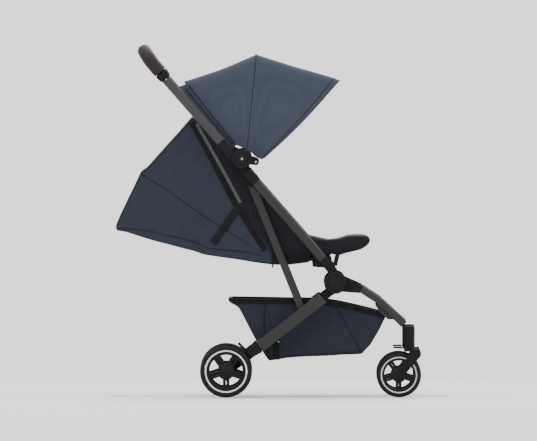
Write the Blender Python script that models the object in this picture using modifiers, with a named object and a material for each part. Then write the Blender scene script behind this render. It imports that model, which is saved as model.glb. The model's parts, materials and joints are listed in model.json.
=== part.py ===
"""Folding baby stroller: side-folding frame, four wheels, reclining seat, canopy and basket.

Metres, +Z up, +X to the front, +Y to the child's left. The origin is on the ground under the
middle of the stroller. Each pair of side pieces is built by a loop over SIDES.
"""
import math

import bmesh
import bpy
from mathutils import Vector

# ---- overall layout, side view (x, z) ----
ARM_TILT = math.radians(48.87)       # slope of the arms below the horizontal
LOWER_HUB = (0.1982, 0.3430)         # axis of the rear and front legs
HUB_SPACING = 0.4624                 # lower hub to upper hub, measured along the arm
UPPER_HUB_FRONT = 0.0149             # upper hub axis ahead of the arm's centre line
LOWER_HUB_BACK = 0.0193              # lower hub axis behind the arm's centre line
HANDLE_REACH = 0.4350                # upper hub to the handle bar, measured along the arm

# ---- side pieces, distance from the middle plane (y) ----
ARM_IN, ARM_OUT = 0.1880, 0.2040
LAYER_GAP = 0.0003
KNUCKLE_OUT = 0.2122                 # outer face of both hubs
KNUCKLE_MID = 0.1963                 # split between a hub's outer and inner disc
KNUCKLE_IN = 0.1800
LEVER_IN = 0.1725
LINK_IN = 0.1600
MOUNT_OUT, MOUNT_IN = 0.1580, 0.1500
FRONT_LEG_OUT = 0.1780
CAP_THICK = 0.0030

# ---- frame sections ----
ARM_WIDTH = 0.0274
SLEEVE_WALL = 0.0018
SLEEVE_WIDTH = 0.0294
REAR_LEG_WIDTH = 0.0360
REAR_LEG_DROP = 0.0134               # leg centre line below the lower hub
REAR_LEG_TILT = math.radians(37.6)
REAR_LEG_START, REAR_LEG_LENGTH = 0.0560, 0.2420
LINK_WIDTH = 0.0220
HUB_A_RADIUS, HUB_B_RADIUS = 0.0294, 0.0330
PIN_RADIUS, PIN_PLAY = 0.0060, 0.0003
MAIN_PIN_RADIUS = 0.0080
LINK_LOWER = (0.1029, 0.2527)        # pivot on the rear leg
LINK_UPPER = (-0.0540, 0.6417)       # pivot on the handle's lever
FRONT_LEG_WIDTH = 0.0215
GRIP_RADIUS = 0.0195
GRIP_CORNER = 0.0320
GRIP_START = 0.3554                  # upper hub to the grip's lower end, along the arm
COLLAR_LENGTH = 0.0260

# ---- wheels ----
REAR_WHEEL = (-0.1280, 0.0780)
REAR_WHEEL_RADIUS = 0.0780
REAR_WHEEL_IN, REAR_WHEEL_OUT = 0.1920, 0.2250
FRONT_WHEEL = (0.3893, 0.0667)
FRONT_WHEEL_RADIUS = 0.0667
FRONT_WHEEL_THICK = 0.0260
SWIVEL_X, SWIVEL_Y = 0.4186, 0.1690
AXLE_RADIUS = 0.0060
SPOKES = 5
FOOT_IN, FOOT_OUT = 0.1680, 0.1857

# ---- seat, canopy and basket ----
FABRIC_OUT = 0.1500                  # half width of the seat, hood and basket
SHELL = 0.0030
CANOPY_OUT = 0.1525
CANOPY_SHELL = 0.0025
BOW_RADIUS = 0.0035
BOW_SIDE = {"rear": 0.1460, "mid": 0.1385, "front": 0.1310}
BOW_ANGLE = {"rear": math.radians(126.0), "mid": math.radians(81.6), "front": math.radians(40.0)}
SEAT_BAR = (0.1485, 0.3985)
SEAT_BAR_RADIUS = 0.0087
SEAT_FRONT, SEAT_BACK = 0.1880, 0.0200
BASE_BOTTOM, BASE_THICK = 0.4075, 0.0110
CUSHION_TOP = 0.4830
PAD_THICK = 0.0300
BRACE_BAR = (0.3577, 0.2460)
BRACE_RADIUS = 0.0080

SIDES = {"l": 1, "r": -1}
PARTS = bpy.data.collections.new("stroller")
CUTTERS = bpy.data.collections.new("cutters")


def clear_scene():
    for item in list(bpy.data.objects):
        bpy.data.objects.remove(item, do_unlink=True)
    for collection in (PARTS, CUTTERS):
        bpy.context.scene.collection.children.link(collection)


# ---- the arm's own coordinates ----
UP = (-math.cos(ARM_TILT), math.sin(ARM_TILT))
AHEAD = (math.sin(ARM_TILT), math.cos(ARM_TILT))


def arm(along, ahead=0.0):
    """The point that far up the arm from the lower hub, and that far ahead of its centre line."""
    base_ahead = LOWER_HUB_BACK + ahead
    return (LOWER_HUB[0] + along * UP[0] + base_ahead * AHEAD[0],
            LOWER_HUB[1] + along * UP[1] + base_ahead * AHEAD[1])


UPPER_HUB = arm(HUB_SPACING, UPPER_HUB_FRONT)
LEG_WAY = (-math.cos(REAR_LEG_TILT), -math.sin(REAR_LEG_TILT))
LEG_DOWN = (math.sin(REAR_LEG_TILT), -math.cos(REAR_LEG_TILT))


def leg(along, below=0.0):
    """The point that far down the rear leg, and that far below its centre line."""
    drop = REAR_LEG_DROP + below
    return (LOWER_HUB[0] + along * LEG_WAY[0] + drop * LEG_DOWN[0],
            LOWER_HUB[1] + along * LEG_WAY[1] + drop * LEG_DOWN[1])


# ---- materials ----
def finish(name, color, rough, metal=0.0):
    material = bpy.data.materials.new(name)
    material.use_nodes = True
    shader = material.node_tree.nodes["Principled BSDF"]
    shader.inputs["Base Color"].default_value = (*color, 1.0)
    shader.inputs["Roughness"].default_value = rough
    shader.inputs["Metallic"].default_value = metal
    return material


FINISH = {
    "arm_grey": finish("arm_grey", (0.095, 0.096, 0.100), 0.45, 0.6),
    "leg_grey": finish("leg_grey", (0.055, 0.056, 0.058), 0.45, 0.6),
    "black": finish("black", (0.013, 0.013, 0.014), 0.5),
    "grip_brown": finish("grip_brown", (0.026, 0.014, 0.012), 0.6),
    "navy": finish("navy", (0.055, 0.070, 0.105), 0.9),
    "dark_navy": finish("dark_navy", (0.020, 0.025, 0.034), 0.9),
    "webbing": finish("webbing", (0.012, 0.012, 0.013), 0.9),
    "tyre": finish("tyre", (0.026, 0.025, 0.024), 0.85),
    "rim": finish("rim", (0.020, 0.020, 0.021), 0.5),
    "steel": finish("steel", (0.45, 0.45, 0.46), 0.3, 1.0),
}


# ---- mesh helpers ----
def keep(name, item, slot, pivot=None):
    """File the piece under its name and finish, with its origin on its pivot."""
    item.name = name
    item.data.name = name
    item.data.materials.clear()
    item.data.materials.append(FINISH[slot])
    for collection in list(item.users_collection):
        collection.objects.unlink(item)
    PARTS.objects.link(item)
    item.data.shade_smooth()
    item.data.set_sharp_from_angle(angle=math.radians(35.0))
    if pivot is not None:
        set_origin(item, pivot)
    return item


def set_origin(item, pivot):
    shift = Vector(pivot)
    for vertex in item.data.vertices:
        vertex.co = vertex.co - shift
    item.location = shift


def mesh_of(item):
    """A plain mesh object in world space from a curve or a modified mesh."""
    bpy.context.view_layer.update()
    graph = bpy.context.evaluated_depsgraph_get()
    mesh = bpy.data.meshes.new_from_object(item.evaluated_get(graph))
    mesh.transform(item.matrix_world)
    work = bmesh.new()
    work.from_mesh(mesh)
    bmesh.ops.remove_doubles(work, verts=work.verts, dist=0.00001)
    bmesh.ops.recalc_face_normals(work, faces=work.faces)
    work.to_mesh(mesh)
    work.free()
    bpy.data.objects.remove(item, do_unlink=True)
    result = bpy.data.objects.new("piece", mesh)
    bpy.context.scene.collection.objects.link(result)
    return result


def plate(outlines, y_low, y_high):
    """A flat piece that stands in the side plane: an outline, then its holes."""
    curve = bpy.data.curves.new("outline", "CURVE")
    curve.dimensions = "2D"
    curve.fill_mode = "BOTH"
    curve.extrude = (y_high - y_low) / 2
    for outline in outlines:
        spline = curve.splines.new("POLY")
        spline.points.add(len(outline) - 1)
        for point, (x, z) in zip(spline.points, outline):
            point.co = (x, z, 0.0, 1.0)
        spline.use_cyclic_u = True
    item = bpy.data.objects.new("outline", curve)
    item.rotation_euler.x = math.pi / 2
    item.location.y = (y_low + y_high) / 2
    bpy.context.scene.collection.objects.link(item)
    return mesh_of(item)


def side_plate(outlines, y_in, y_out, side):
    low, high = sorted((side * y_in, side * y_out))
    return plate(outlines, low, high)


def rod(center, radius, y_low, y_high, sides=20):
    """A round bar along y."""
    bpy.ops.mesh.primitive_cylinder_add(vertices=sides, radius=radius, depth=y_high - y_low,
                                        location=(center[0], (y_low + y_high) / 2, center[1]),
                                        rotation=(math.pi / 2, 0.0, 0.0))
    return mesh_of(bpy.context.object)


def side_rod(center, radius, y_in, y_out, side, sides=20):
    low, high = sorted((side * y_in, side * y_out))
    return rod(center, radius, low, high, sides)


def post(x, y, radius, z_low, z_high, sides=20):
    """A round bar along z."""
    bpy.ops.mesh.primitive_cylinder_add(vertices=sides, radius=radius, depth=z_high - z_low,
                                        location=(x, y, (z_low + z_high) / 2))
    return mesh_of(bpy.context.object)


def block(x_low, x_high, y_low, y_high, z_low, z_high):
    middle = ((x_low + x_high) / 2, (y_low + y_high) / 2, (z_low + z_high) / 2)
    bpy.ops.mesh.primitive_cube_add(size=1.0, location=middle)
    item = bpy.context.object
    item.scale = (x_high - x_low, y_high - y_low, z_high - z_low)
    return mesh_of(item)


def tube(path, radius, resolution=2):
    """A round tube along a list of points."""
    curve = bpy.data.curves.new("tube", "CURVE")
    curve.dimensions = "3D"
    curve.bevel_depth = radius
    curve.bevel_resolution = resolution
    curve.use_fill_caps = True
    spline = curve.splines.new("POLY")
    spline.points.add(len(path) - 1)
    for point, place in zip(spline.points, path):
        point.co = (*place, 1.0)
    item = bpy.data.objects.new("tube", curve)
    bpy.context.scene.collection.objects.link(item)
    return mesh_of(item)


def combine(base, others, operation):
    for other in others:
        for collection in list(other.users_collection):
            collection.objects.unlink(other)
        CUTTERS.objects.link(other)
        other.hide_render = True
        other.display_type = "WIRE"
        modifier = base.modifiers.new("boolean", "BOOLEAN")
        modifier.operation = operation
        modifier.solver = "EXACT"
        modifier.object = other
    result = mesh_of(base)
    for other in others:
        bpy.data.objects.remove(other, do_unlink=True)
    return result


def join(base, *others):
    return combine(base, others, "UNION")


def cut(base, *others):
    return combine(base, others, "DIFFERENCE")


def soften(item, width, segments=2, angle=50.0):
    modifier = item.modifiers.new("bevel", "BEVEL")
    modifier.width = width
    modifier.segments = segments
    modifier.limit_method = "ANGLE"
    modifier.angle_limit = math.radians(angle)
    return mesh_of(item)


# ---- outline helpers, all in (x, z) ----
def circle(center, radius, count=24):
    turns = (2 * math.pi * i / count for i in range(count))
    return [(center[0] + radius * math.cos(a), center[1] + radius * math.sin(a)) for a in turns]


def stadium(start, end, radius, end_radius=None, count=6):
    """A bar with round ends from start to end."""
    end_radius = end_radius or radius
    facing = math.atan2(end[1] - start[1], end[0] - start[0])
    outline = []
    for center, size, first in ((end, end_radius, facing - math.pi / 2), (start, radius, facing + math.pi / 2)):
        for i in range(count + 1):
            angle = first + math.pi * i / count
            outline.append((center[0] + size * math.cos(angle), center[1] + size * math.sin(angle)))
    return outline


def ribbon(path, widths):
    """The outline of a strip of that width along a path."""
    left, right = [], []
    for i, point in enumerate(path):
        before, after = path[max(i - 1, 0)], path[min(i + 1, len(path) - 1)]
        run = math.hypot(after[0] - before[0], after[1] - before[1])
        nx, nz = -(after[1] - before[1]) / run, (after[0] - before[0]) / run
        half = widths[i] / 2
        left.append((point[0] + nx * half, point[1] + nz * half))
        right.append((point[0] - nx * half, point[1] - nz * half))
    return left + right[::-1]


def inset(outline, distance):
    """The outline moved inward; its points run anticlockwise."""
    result = []
    count = len(outline)
    for i, point in enumerate(outline):
        before, after = outline[i - 1], outline[(i + 1) % count]
        first = Vector((point[0] - before[0], point[1] - before[1])).normalized()
        second = Vector((after[0] - point[0], after[1] - point[1])).normalized()
        way = (Vector((-first.y, first.x)) + Vector((-second.y, second.x))).normalized()
        reach = distance / max(way.dot(Vector((-first.y, first.x))), 0.4)
        result.append((point[0] + way.x * reach, point[1] + way.y * reach))
    return result


def polar(center, radius, angle):
    return (center[0] + radius * math.cos(angle), center[1] + radius * math.sin(angle))


# ---- arms and hubs ----
def build_arms(tag, side):
    lower = side_plate([ribbon([arm(0.046), arm(0.415)], [ARM_WIDTH] * 2)], ARM_IN, ARM_OUT, side)
    keep("lower_arm_" + tag, soften(lower, 0.005), "leg_grey")
    upper_end = HUB_SPACING + GRIP_START + 0.020
    upper = side_plate([ribbon([arm(0.5220), arm(upper_end)], [ARM_WIDTH] * 2)], ARM_IN, ARM_OUT, side)
    keep("upper_arm_" + tag, soften(upper, 0.005), "arm_grey", (UPPER_HUB[0], 0.0, UPPER_HUB[1]))


def sleeve(start, end, side):
    """A socket round the arm tube, whose bore clears it."""
    body = side_plate([ribbon([arm(start), arm(end)], [SLEEVE_WIDTH] * 2)], ARM_IN - SLEEVE_WALL,
                      ARM_OUT + SLEEVE_WALL, side)
    return soften(body, 0.004)


def arm_bore(start, end, side):
    return side_plate([ribbon([arm(start), arm(end)], [ARM_WIDTH + 2 * LAYER_GAP] * 2)],
                      ARM_IN - LAYER_GAP, ARM_OUT + LAYER_GAP, side)


def build_upper_hub(tag, side):
    pivot = (UPPER_HUB[0], 0.0, UPPER_HUB[1])
    disc = side_rod(UPPER_HUB, HUB_A_RADIUS, KNUCKLE_MID + LAYER_GAP / 2, KNUCKLE_OUT, side, 24)
    web = side_plate([ribbon([arm(HUB_SPACING, 0.0010), arm(0.5060)], [0.0270] * 2)],
                     KNUCKLE_MID + LAYER_GAP / 2, ARM_OUT + SLEEVE_WALL, side)
    socket = sleeve(0.5000, 0.5450, side)
    pin = side_rod(UPPER_HUB, PIN_RADIUS, LEVER_IN, KNUCKLE_OUT - 0.002, side)
    lever = side_plate([stadium(UPPER_HUB, LINK_UPPER, 0.0110)], LEVER_IN, KNUCKLE_IN - LAYER_GAP, side)
    cap = side_rod(UPPER_HUB, 0.0175, KNUCKLE_OUT - 0.001, KNUCKLE_OUT + CAP_THICK, side, 28)
    knuckle = cut(join(disc, web, socket, pin, lever, cap), arm_bore(0.5215, 0.5600, side))
    keep("upper_knuckle_" + tag, knuckle, "black", pivot)

    inner = side_rod(UPPER_HUB, HUB_A_RADIUS, KNUCKLE_IN, KNUCKLE_MID - LAYER_GAP / 2, side, 24)
    lower_web = side_plate([ribbon([arm(HUB_SPACING, 0.0010), arm(0.4200)], [0.0270] * 2)],
                           KNUCKLE_IN + 0.0005, KNUCKLE_MID - 0.0008, side)
    socket = sleeve(0.3800, 0.4270, side)
    tab = arm(0.4283, 0.0398)
    bridge = side_plate([stadium(UPPER_HUB, tab, 0.0140, 0.0100)], KNUCKLE_IN + 0.0010,
                        ARM_IN - SLEEVE_WALL - 2 * LAYER_GAP, side)
    boss = side_rod(tab, 0.0075, MOUNT_IN + 0.0010, KNUCKLE_IN + 0.0040, side)
    bore = side_rod(UPPER_HUB, PIN_RADIUS + PIN_PLAY, KNUCKLE_IN - 0.002, KNUCKLE_MID + 0.002, side)
    mount = side_plate([stadium(UPPER_HUB, tab, 0.0140, 0.0100)], MOUNT_IN, MOUNT_OUT, side)
    hub_pin = side_rod(UPPER_HUB, 0.0040, BOW_SIDE["front"] - 0.0040, MOUNT_IN + 0.001, side, 16)
    foot = polar(UPPER_HUB, 0.0300, BOW_ANGLE["rear"])
    shelf = side_plate([stadium(UPPER_HUB, foot, 0.0090, 0.0075)], MOUNT_IN, MOUNT_OUT - 0.0006, side)
    hinge = join(inner, lower_web, socket, bridge, boss, mount, hub_pin, shelf)
    keep("lower_knuckle_" + tag, cut(hinge, bore, arm_bore(0.3700, 0.4155, side)), "black")


def build_lower_hub(tag, side):
    shell = side_rod(LOWER_HUB, HUB_B_RADIUS, KNUCKLE_MID + LAYER_GAP / 2, KNUCKLE_OUT, side, 24)
    web = side_plate([ribbon([arm(0.0, -0.0080), arm(0.0500, 0.0)], [0.0260, 0.0270])],
                     KNUCKLE_MID + LAYER_GAP / 2, ARM_OUT + SLEEVE_WALL, side)
    socket = sleeve(0.0370, 0.0800, side)
    bore = side_rod(LOWER_HUB, MAIN_PIN_RADIUS + PIN_PLAY, KNUCKLE_MID - 0.002, KNUCKLE_OUT - 0.004, side)
    cap = side_rod(LOWER_HUB, 0.0208, KNUCKLE_OUT - 0.001, KNUCKLE_OUT + CAP_THICK, side, 28)
    hub = cut(join(shell, web, socket, cap), bore, arm_bore(0.0455, 0.0900, side))
    keep("lower_hub_" + tag, hub, "black")


def build_cross_members():
    pin_end = KNUCKLE_OUT - 0.0045
    tube_end = LINK_IN - LAYER_GAP
    pin = rod(LOWER_HUB, MAIN_PIN_RADIUS, -pin_end, pin_end)
    sleeve_tube = rod(LOWER_HUB, 0.0115, -tube_end, tube_end)
    keep("main_cross_tube", join(pin, sleeve_tube), "leg_grey")
    bar_end = ARM_IN - SLEEVE_WALL - LAYER_GAP
    bar = rod(SEAT_BAR, SEAT_BAR_RADIUS, -bar_end, bar_end)
    flanges = [side_rod(SEAT_BAR, 0.0100, bar_end - 0.007, bar_end, s) for s in SIDES.values()]
    keep("seat_cross_tube", join(bar, *flanges), "black")


# ---- rear legs ----
def build_rear_leg(tag, side):
    pivot = (LOWER_HUB[0], 0.0, LOWER_HUB[1])
    end = REAR_LEG_START + REAR_LEG_LENGTH
    tube_part = side_plate([ribbon([leg(REAR_LEG_START), leg(end)], [REAR_LEG_WIDTH] * 2)],
                           ARM_IN - 0.001, ARM_OUT + 0.001, side)
    keep("rear_leg_" + tag, soften(tube_part, 0.0055), "leg_grey", pivot)

    disc = side_rod(LOWER_HUB, HUB_B_RADIUS, KNUCKLE_IN, KNUCKLE_MID - LAYER_GAP / 2, side, 24)
    reach = leg(REAR_LEG_START + 0.050)
    inner_end = ARM_IN - 0.001 - LAYER_GAP
    strap = side_plate([ribbon([leg(0.0), reach], [0.0230] * 2)], KNUCKLE_IN + 0.0004, inner_end, side)
    pin = side_rod(LINK_LOWER, PIN_RADIUS, LINK_IN, inner_end - 0.0020, side)
    pad = side_plate([stadium(reach, LINK_LOWER, 0.0150, 0.0130)], KNUCKLE_IN + 0.0008,
                     inner_end - 0.0007, side)
    knuckle = join(disc, strap, pin, pad)
    bore = side_rod(LOWER_HUB, MAIN_PIN_RADIUS + PIN_PLAY, KNUCKLE_IN - 0.002, KNUCKLE_MID + 0.002, side)
    keep("rear_knuckle_" + tag, cut(knuckle, bore), "black", pivot)

    inner_leg = stadium(leg(end - 0.045), REAR_WHEEL, 0.0150, 0.0150)
    foot = side_plate([inner_leg], FOOT_IN, FOOT_OUT, side)
    plug = side_plate([ribbon([leg(end + LAYER_GAP), leg(end + 0.038)], [REAR_LEG_WIDTH, 0.024])],
                      FOOT_OUT - 0.002, ARM_OUT + 0.001, side)
    foot = soften(join(foot, plug), 0.002, 1)
    bore = side_rod(REAR_WHEEL, AXLE_RADIUS + PIN_PLAY, FOOT_IN - 0.002, FOOT_OUT + 0.002, side)
    cutters = [bore]
    if tag == "r":
        cutters.append(side_rod(PEDAL_PIVOT, 0.0043, FOOT_IN - 0.002, FOOT_OUT - 0.004, side, 16))
    keep("rear_foot_" + tag, cut(foot, *cutters), "black", pivot)


PEDAL_PIVOT = leg(REAR_LEG_START + REAR_LEG_LENGTH + 0.037, -0.0040)


def build_rear_axle():
    end = REAR_WHEEL_OUT - 0.0050
    keep("rear_axle", rod(REAR_WHEEL, AXLE_RADIUS, -end, end), "steel",
         (LOWER_HUB[0], 0.0, LOWER_HUB[1]))


def build_brake_pedal():
    tip = (PEDAL_PIVOT[0] - 0.0275, PEDAL_PIVOT[1] + 0.0290)
    barrel = side_rod(PEDAL_PIVOT, 0.0100, 0.1000, FOOT_IN - LAYER_GAP, -1)
    stub = side_rod(PEDAL_PIVOT, 0.0040, FOOT_IN - 0.001, FOOT_OUT - 0.005, -1, 16)
    blade = side_plate([stadium(PEDAL_PIVOT, tip, 0.0035)], 0.1000, FOOT_IN - LAYER_GAP, -1)
    keep("brake_pedal", join(barrel, stub, blade), "black", (PEDAL_PIVOT[0], 0.0, PEDAL_PIVOT[1]))


def build_link(tag, side):
    bar = side_plate([stadium(LINK_LOWER, LINK_UPPER, LINK_WIDTH / 2)], LINK_IN,
                     LEVER_IN - LAYER_GAP, side)
    bore = side_rod(LINK_LOWER, PIN_RADIUS + PIN_PLAY, LINK_IN - 0.002, LEVER_IN + 0.002, side)
    keep("link_" + tag, cut(soften(bar, 0.003, 1), bore), "leg_grey", (LINK_LOWER[0], 0.0, LINK_LOWER[1]))


# ---- front legs ----
FRONT_PATH = [(0.2500, 0.3395), (0.2775, 0.3232), (0.3247, 0.2927), (0.3663, 0.2547), (0.4051, 0.2180)]


def build_front_leg(tag, side):
    pivot = (LOWER_HUB[0], 0.0, LOWER_HUB[1])
    tube_part = side_plate([ribbon(FRONT_PATH, [FRONT_LEG_WIDTH] * 4 + [0.024])], LINK_IN + 0.0005,
                           FRONT_LEG_OUT, side)
    tube_part = soften(tube_part, 0.004)
    disc = side_rod(LOWER_HUB, HUB_B_RADIUS, LINK_IN, KNUCKLE_IN - LAYER_GAP, side, 24)
    neck = side_plate([ribbon([LOWER_HUB, FRONT_PATH[1]], [0.052, 0.0240])], LINK_IN,
                      KNUCKLE_IN - LAYER_GAP, side)
    knuckle = join(disc, neck)
    bore = side_rod(LOWER_HUB, MAIN_PIN_RADIUS + PIN_PLAY, LINK_IN - 0.002, KNUCKLE_IN + 0.002, side)
    keep("front_knuckle_" + tag, cut(knuckle, bore), "black", pivot)
    trim = side_plate([ribbon([(LOWER_HUB[0] - 0.02, LOWER_HUB[1] + 0.01), (FRONT_PATH[1][0] + 0.0009,
                                                                          FRONT_PATH[1][1] - 0.0007)],
                              [0.090, 0.050])], LINK_IN - 0.01, KNUCKLE_IN + 0.01, side)
    keep("front_leg_" + tag, cut(tube_part, trim), "leg_grey", pivot)

    y = side * SWIVEL_Y
    housing = post(SWIVEL_X, y, 0.0180, 0.1460, 0.2130, 24)
    clear = side_plate([ribbon(FRONT_PATH[2:], [FRONT_LEG_WIDTH + 0.0008] * 2 + [0.0248])],
                       LINK_IN - 0.001, FRONT_LEG_OUT + 0.002, side)
    bore = post(SWIVEL_X, y, AXLE_RADIUS + PIN_PLAY, 0.1400, 0.1900)
    housing = cut(housing, clear, bore)
    keep("caster_housing_" + tag, housing, "black", pivot)
    low, high = sorted((side * (SWIVEL_Y - 0.012), side * (SWIVEL_Y + 0.012)))
    lock = block(0.3723, SWIVEL_X - 0.0184, low, high, 0.1465, 0.1515)
    keep("swivel_lock_" + tag, soften(lock, 0.0015, 1), "black", (SWIVEL_X - 0.0184, 0.0, 0.1490))


def build_front_brace():
    end = LINK_IN - LAYER_GAP
    bar = rod(BRACE_BAR, BRACE_RADIUS, -end, end)
    outline = [(0.3320, 0.2540), (0.3560, 0.2330), (0.3900, 0.2330), (0.3930, 0.2420), (0.3400, 0.2860),
               (0.3180, 0.2760)]
    ends = [side_plate([outline], 0.1513, end, s) for s in SIDES.values()]
    keep("front_brace", join(bar, *ends), "leg_grey", (LOWER_HUB[0], 0.0, LOWER_HUB[1]))


def build_caster(tag, side):
    top = (0.4419, 0.1300)
    swivel = (SWIVEL_X, side * SWIVEL_Y, 0.0)
    half = FRONT_WHEEL_THICK / 2 + 0.0012
    arms = []
    for offset in (-1, 1):
        low, high = sorted((side * SWIVEL_Y + offset * half, side * SWIVEL_Y + offset * (half + 0.0048)))
        arms.append(plate([stadium(FRONT_WHEEL, top, 0.0130, 0.0140)], low, high))
    y = side * SWIVEL_Y
    crown = block(0.4050, 0.4520, y - half - 0.0040, y + half + 0.0040, 0.1370, 0.1450)
    stem = post(SWIVEL_X, y, AXLE_RADIUS, 0.1440, 0.1880)
    axle = rod(FRONT_WHEEL, 0.0050, y - half - 0.001, y + half + 0.001)
    fork = join(crown, arms[0], arms[1], stem, axle)
    keep("caster_fork_" + tag, fork, "black", swivel)


# ---- wheels ----
def spoke_windows(center, inner, outer, spoke, slot):
    """The five windows between the double spokes, and the slot inside each spoke."""
    holes = []
    pitch = 2 * math.pi / SPOKES
    for i in range(SPOKES):
        down = -math.pi / 2 + pitch * i
        window = []
        for radius, steps, order in ((outer, 5, 1), (inner, 2, -1)):
            half = math.asin(spoke / 2 / radius)
            angles = [down + half + (pitch - 2 * half) * j / steps for j in range(steps + 1)]
            window += [polar(center, radius, a) for a in angles[::order]]
        holes.append(window)
        half = slot / 2
        along, across = (math.cos(down), math.sin(down)), (-math.sin(down), math.cos(down))
        corners = ((inner + 0.003, -half), (outer - 0.004, -half), (outer - 0.004, half),
                   (inner + 0.003, half))
        holes.append([(center[0] + along[0] * a + across[0] * b, center[1] + along[1] * a + across[1] * b)
                      for a, b in corners])
    return holes


def build_wheel(name, center, radius, y_in, y_out, side, bore, dims, pivot, capped):
    """A spoked rim, a rounded tyre round it and a hub cap on its outer face."""
    rim_radius, window, hub = dims
    middle, half = (y_in + y_out) / 2, (y_out - y_in) / 2
    outline = [circle(center, rim_radius, 32)]
    outline += spoke_windows(center, hub, window, radius * 0.24, radius * 0.060)
    outline.append(circle(center, bore, 16))
    rim = side_plate(outline, y_in + 0.004, y_out - 0.004, side)
    if capped:
        rim = join(rim, side_rod(center, hub - 0.003, y_out - 0.0045, y_out - 0.0005, side, 28))
    keep(name.replace("wheel", "rim"), rim, "rim", pivot)

    gap = LAYER_GAP
    profile = [(rim_radius + gap, -half + 0.003)]
    for i in range(5):
        angle = math.pi * i / 4
        profile.append((radius - 0.008 + 0.008 * math.sin(angle), -math.cos(angle) * half))
    profile.append((rim_radius + gap, half - 0.003))
    work = bmesh.new()
    verts = [work.verts.new((x, 0.0, z)) for x, z in profile[::-1]]
    for first, second in zip(verts, verts[1:] + verts[:1]):
        work.edges.new((first, second))
    mesh = bpy.data.meshes.new("tyre")
    work.to_mesh(mesh)
    work.free()
    item = bpy.data.objects.new("tyre", mesh)
    bpy.context.scene.collection.objects.link(item)
    screw = item.modifiers.new("turn", "SCREW")
    screw.steps = screw.render_steps = 32
    screw.use_merge_vertices = True
    screw.merge_threshold = 0.00001
    item.rotation_euler.x = math.pi / 2
    item.location = (center[0], side * middle, center[1])
    keep(name.replace("wheel", "tyre"), mesh_of(item), "tyre", pivot)


def build_wheels(tag, side):
    rear = (REAR_WHEEL[0], 0.0, REAR_WHEEL[1])
    build_wheel("rear_wheel_" + tag, REAR_WHEEL, REAR_WHEEL_RADIUS, REAR_WHEEL_IN, REAR_WHEEL_OUT, side,
                AXLE_RADIUS + PIN_PLAY, (0.0650, 0.0490, 0.0240), rear, True)
    front = (FRONT_WHEEL[0], 0.0, FRONT_WHEEL[1])
    half = FRONT_WHEEL_THICK / 2
    build_wheel("front_wheel_" + tag, FRONT_WHEEL, FRONT_WHEEL_RADIUS, SWIVEL_Y - half, SWIVEL_Y + half,
                side, 0.0053, (0.0555, 0.0430, 0.0210), front, False)


# ---- handle ----
def grip_path(reach, half_width):
    """Up one side, round both corners and down the other side."""
    path = []
    start = HUB_SPACING + GRIP_START
    top = HUB_SPACING + reach
    straight = start + 0.0240
    for side in (-1, 1):
        run = [(start, side * half_width), (straight, side * half_width), (top - GRIP_CORNER, side * half_width)]
        for i in range(1, 6):
            angle = math.pi / 2 * i / 5
            run.append((top - GRIP_CORNER + GRIP_CORNER * math.sin(angle),
                        side * (half_width - GRIP_CORNER + GRIP_CORNER * math.cos(angle))))
        path += run if side < 0 else run[::-1]
    bend = [0.0060 * max(0.0, (s - straight) / (top - straight)) ** 2 for s, _ in path]
    return [(arm(s, b)[0], y, arm(s, b)[1]) for (s, y), b in zip(path, bend)]


def build_grip():
    pivot = (UPPER_HUB[0], 0.0, UPPER_HUB[1])
    middle = (ARM_IN + ARM_OUT) / 2
    grip = tube(grip_path(HANDLE_REACH, middle), GRIP_RADIUS, 3)
    start = HUB_SPACING + GRIP_START
    bores = [side_plate([ribbon([arm(start - 0.01), arm(start + 0.0203)], [ARM_WIDTH + 2 * LAYER_GAP] * 2)],
                        ARM_IN - LAYER_GAP, ARM_OUT + LAYER_GAP, s) for s in SIDES.values()]
    top = arm(HUB_SPACING + HANDLE_REACH, 0.0060)
    pocket = block(top[0] - 0.004, top[0] + 0.004, -0.0203, 0.0203, top[1] - 0.03, top[1] - 0.0120)
    keep("handle_grip", cut(grip, *bores, pocket), "grip_brown", pivot)
    button = block(top[0] - 0.0037, top[0] + 0.0037, -0.0200, 0.0200, top[1] - 0.0230, top[1] - 0.0160)
    keep("fold_button", button, "black")
    for tag, side in SIDES.items():
        collar = side_plate([ribbon([arm(start - COLLAR_LENGTH), arm(start - LAYER_GAP)], [0.0340, 0.0390])],
                            ARM_IN - 0.0070, ARM_OUT + 0.0070, side)
        bore = arm_bore(start - COLLAR_LENGTH - 0.01, start + 0.01, side)
        keep("grip_collar_" + tag, cut(soften(collar, 0.006), bore), "black", pivot)


# ---- seat ----
HOOD_BOTTOM = [(0.1170, 0.4032), (0.0574, 0.3953), (-0.0562, 0.4057), (-0.1911, 0.4255), (-0.3528, 0.4712),
               (-0.4581, 0.4972)]
HOOD_BACK = [(-0.4596, 0.5125), (-0.3821, 0.6763), (-0.3651, 0.6865), (-0.2275, 0.8405)]
HOOD_FRONT = [(-0.1360, 0.7340), (-0.0360, 0.6260), (0.0600, 0.5180), (0.1170, 0.4560)]
RECLINE_HINGE = (-0.0120, 0.4260)
PAD_FRONT = (-0.0140, 0.4560)


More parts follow.
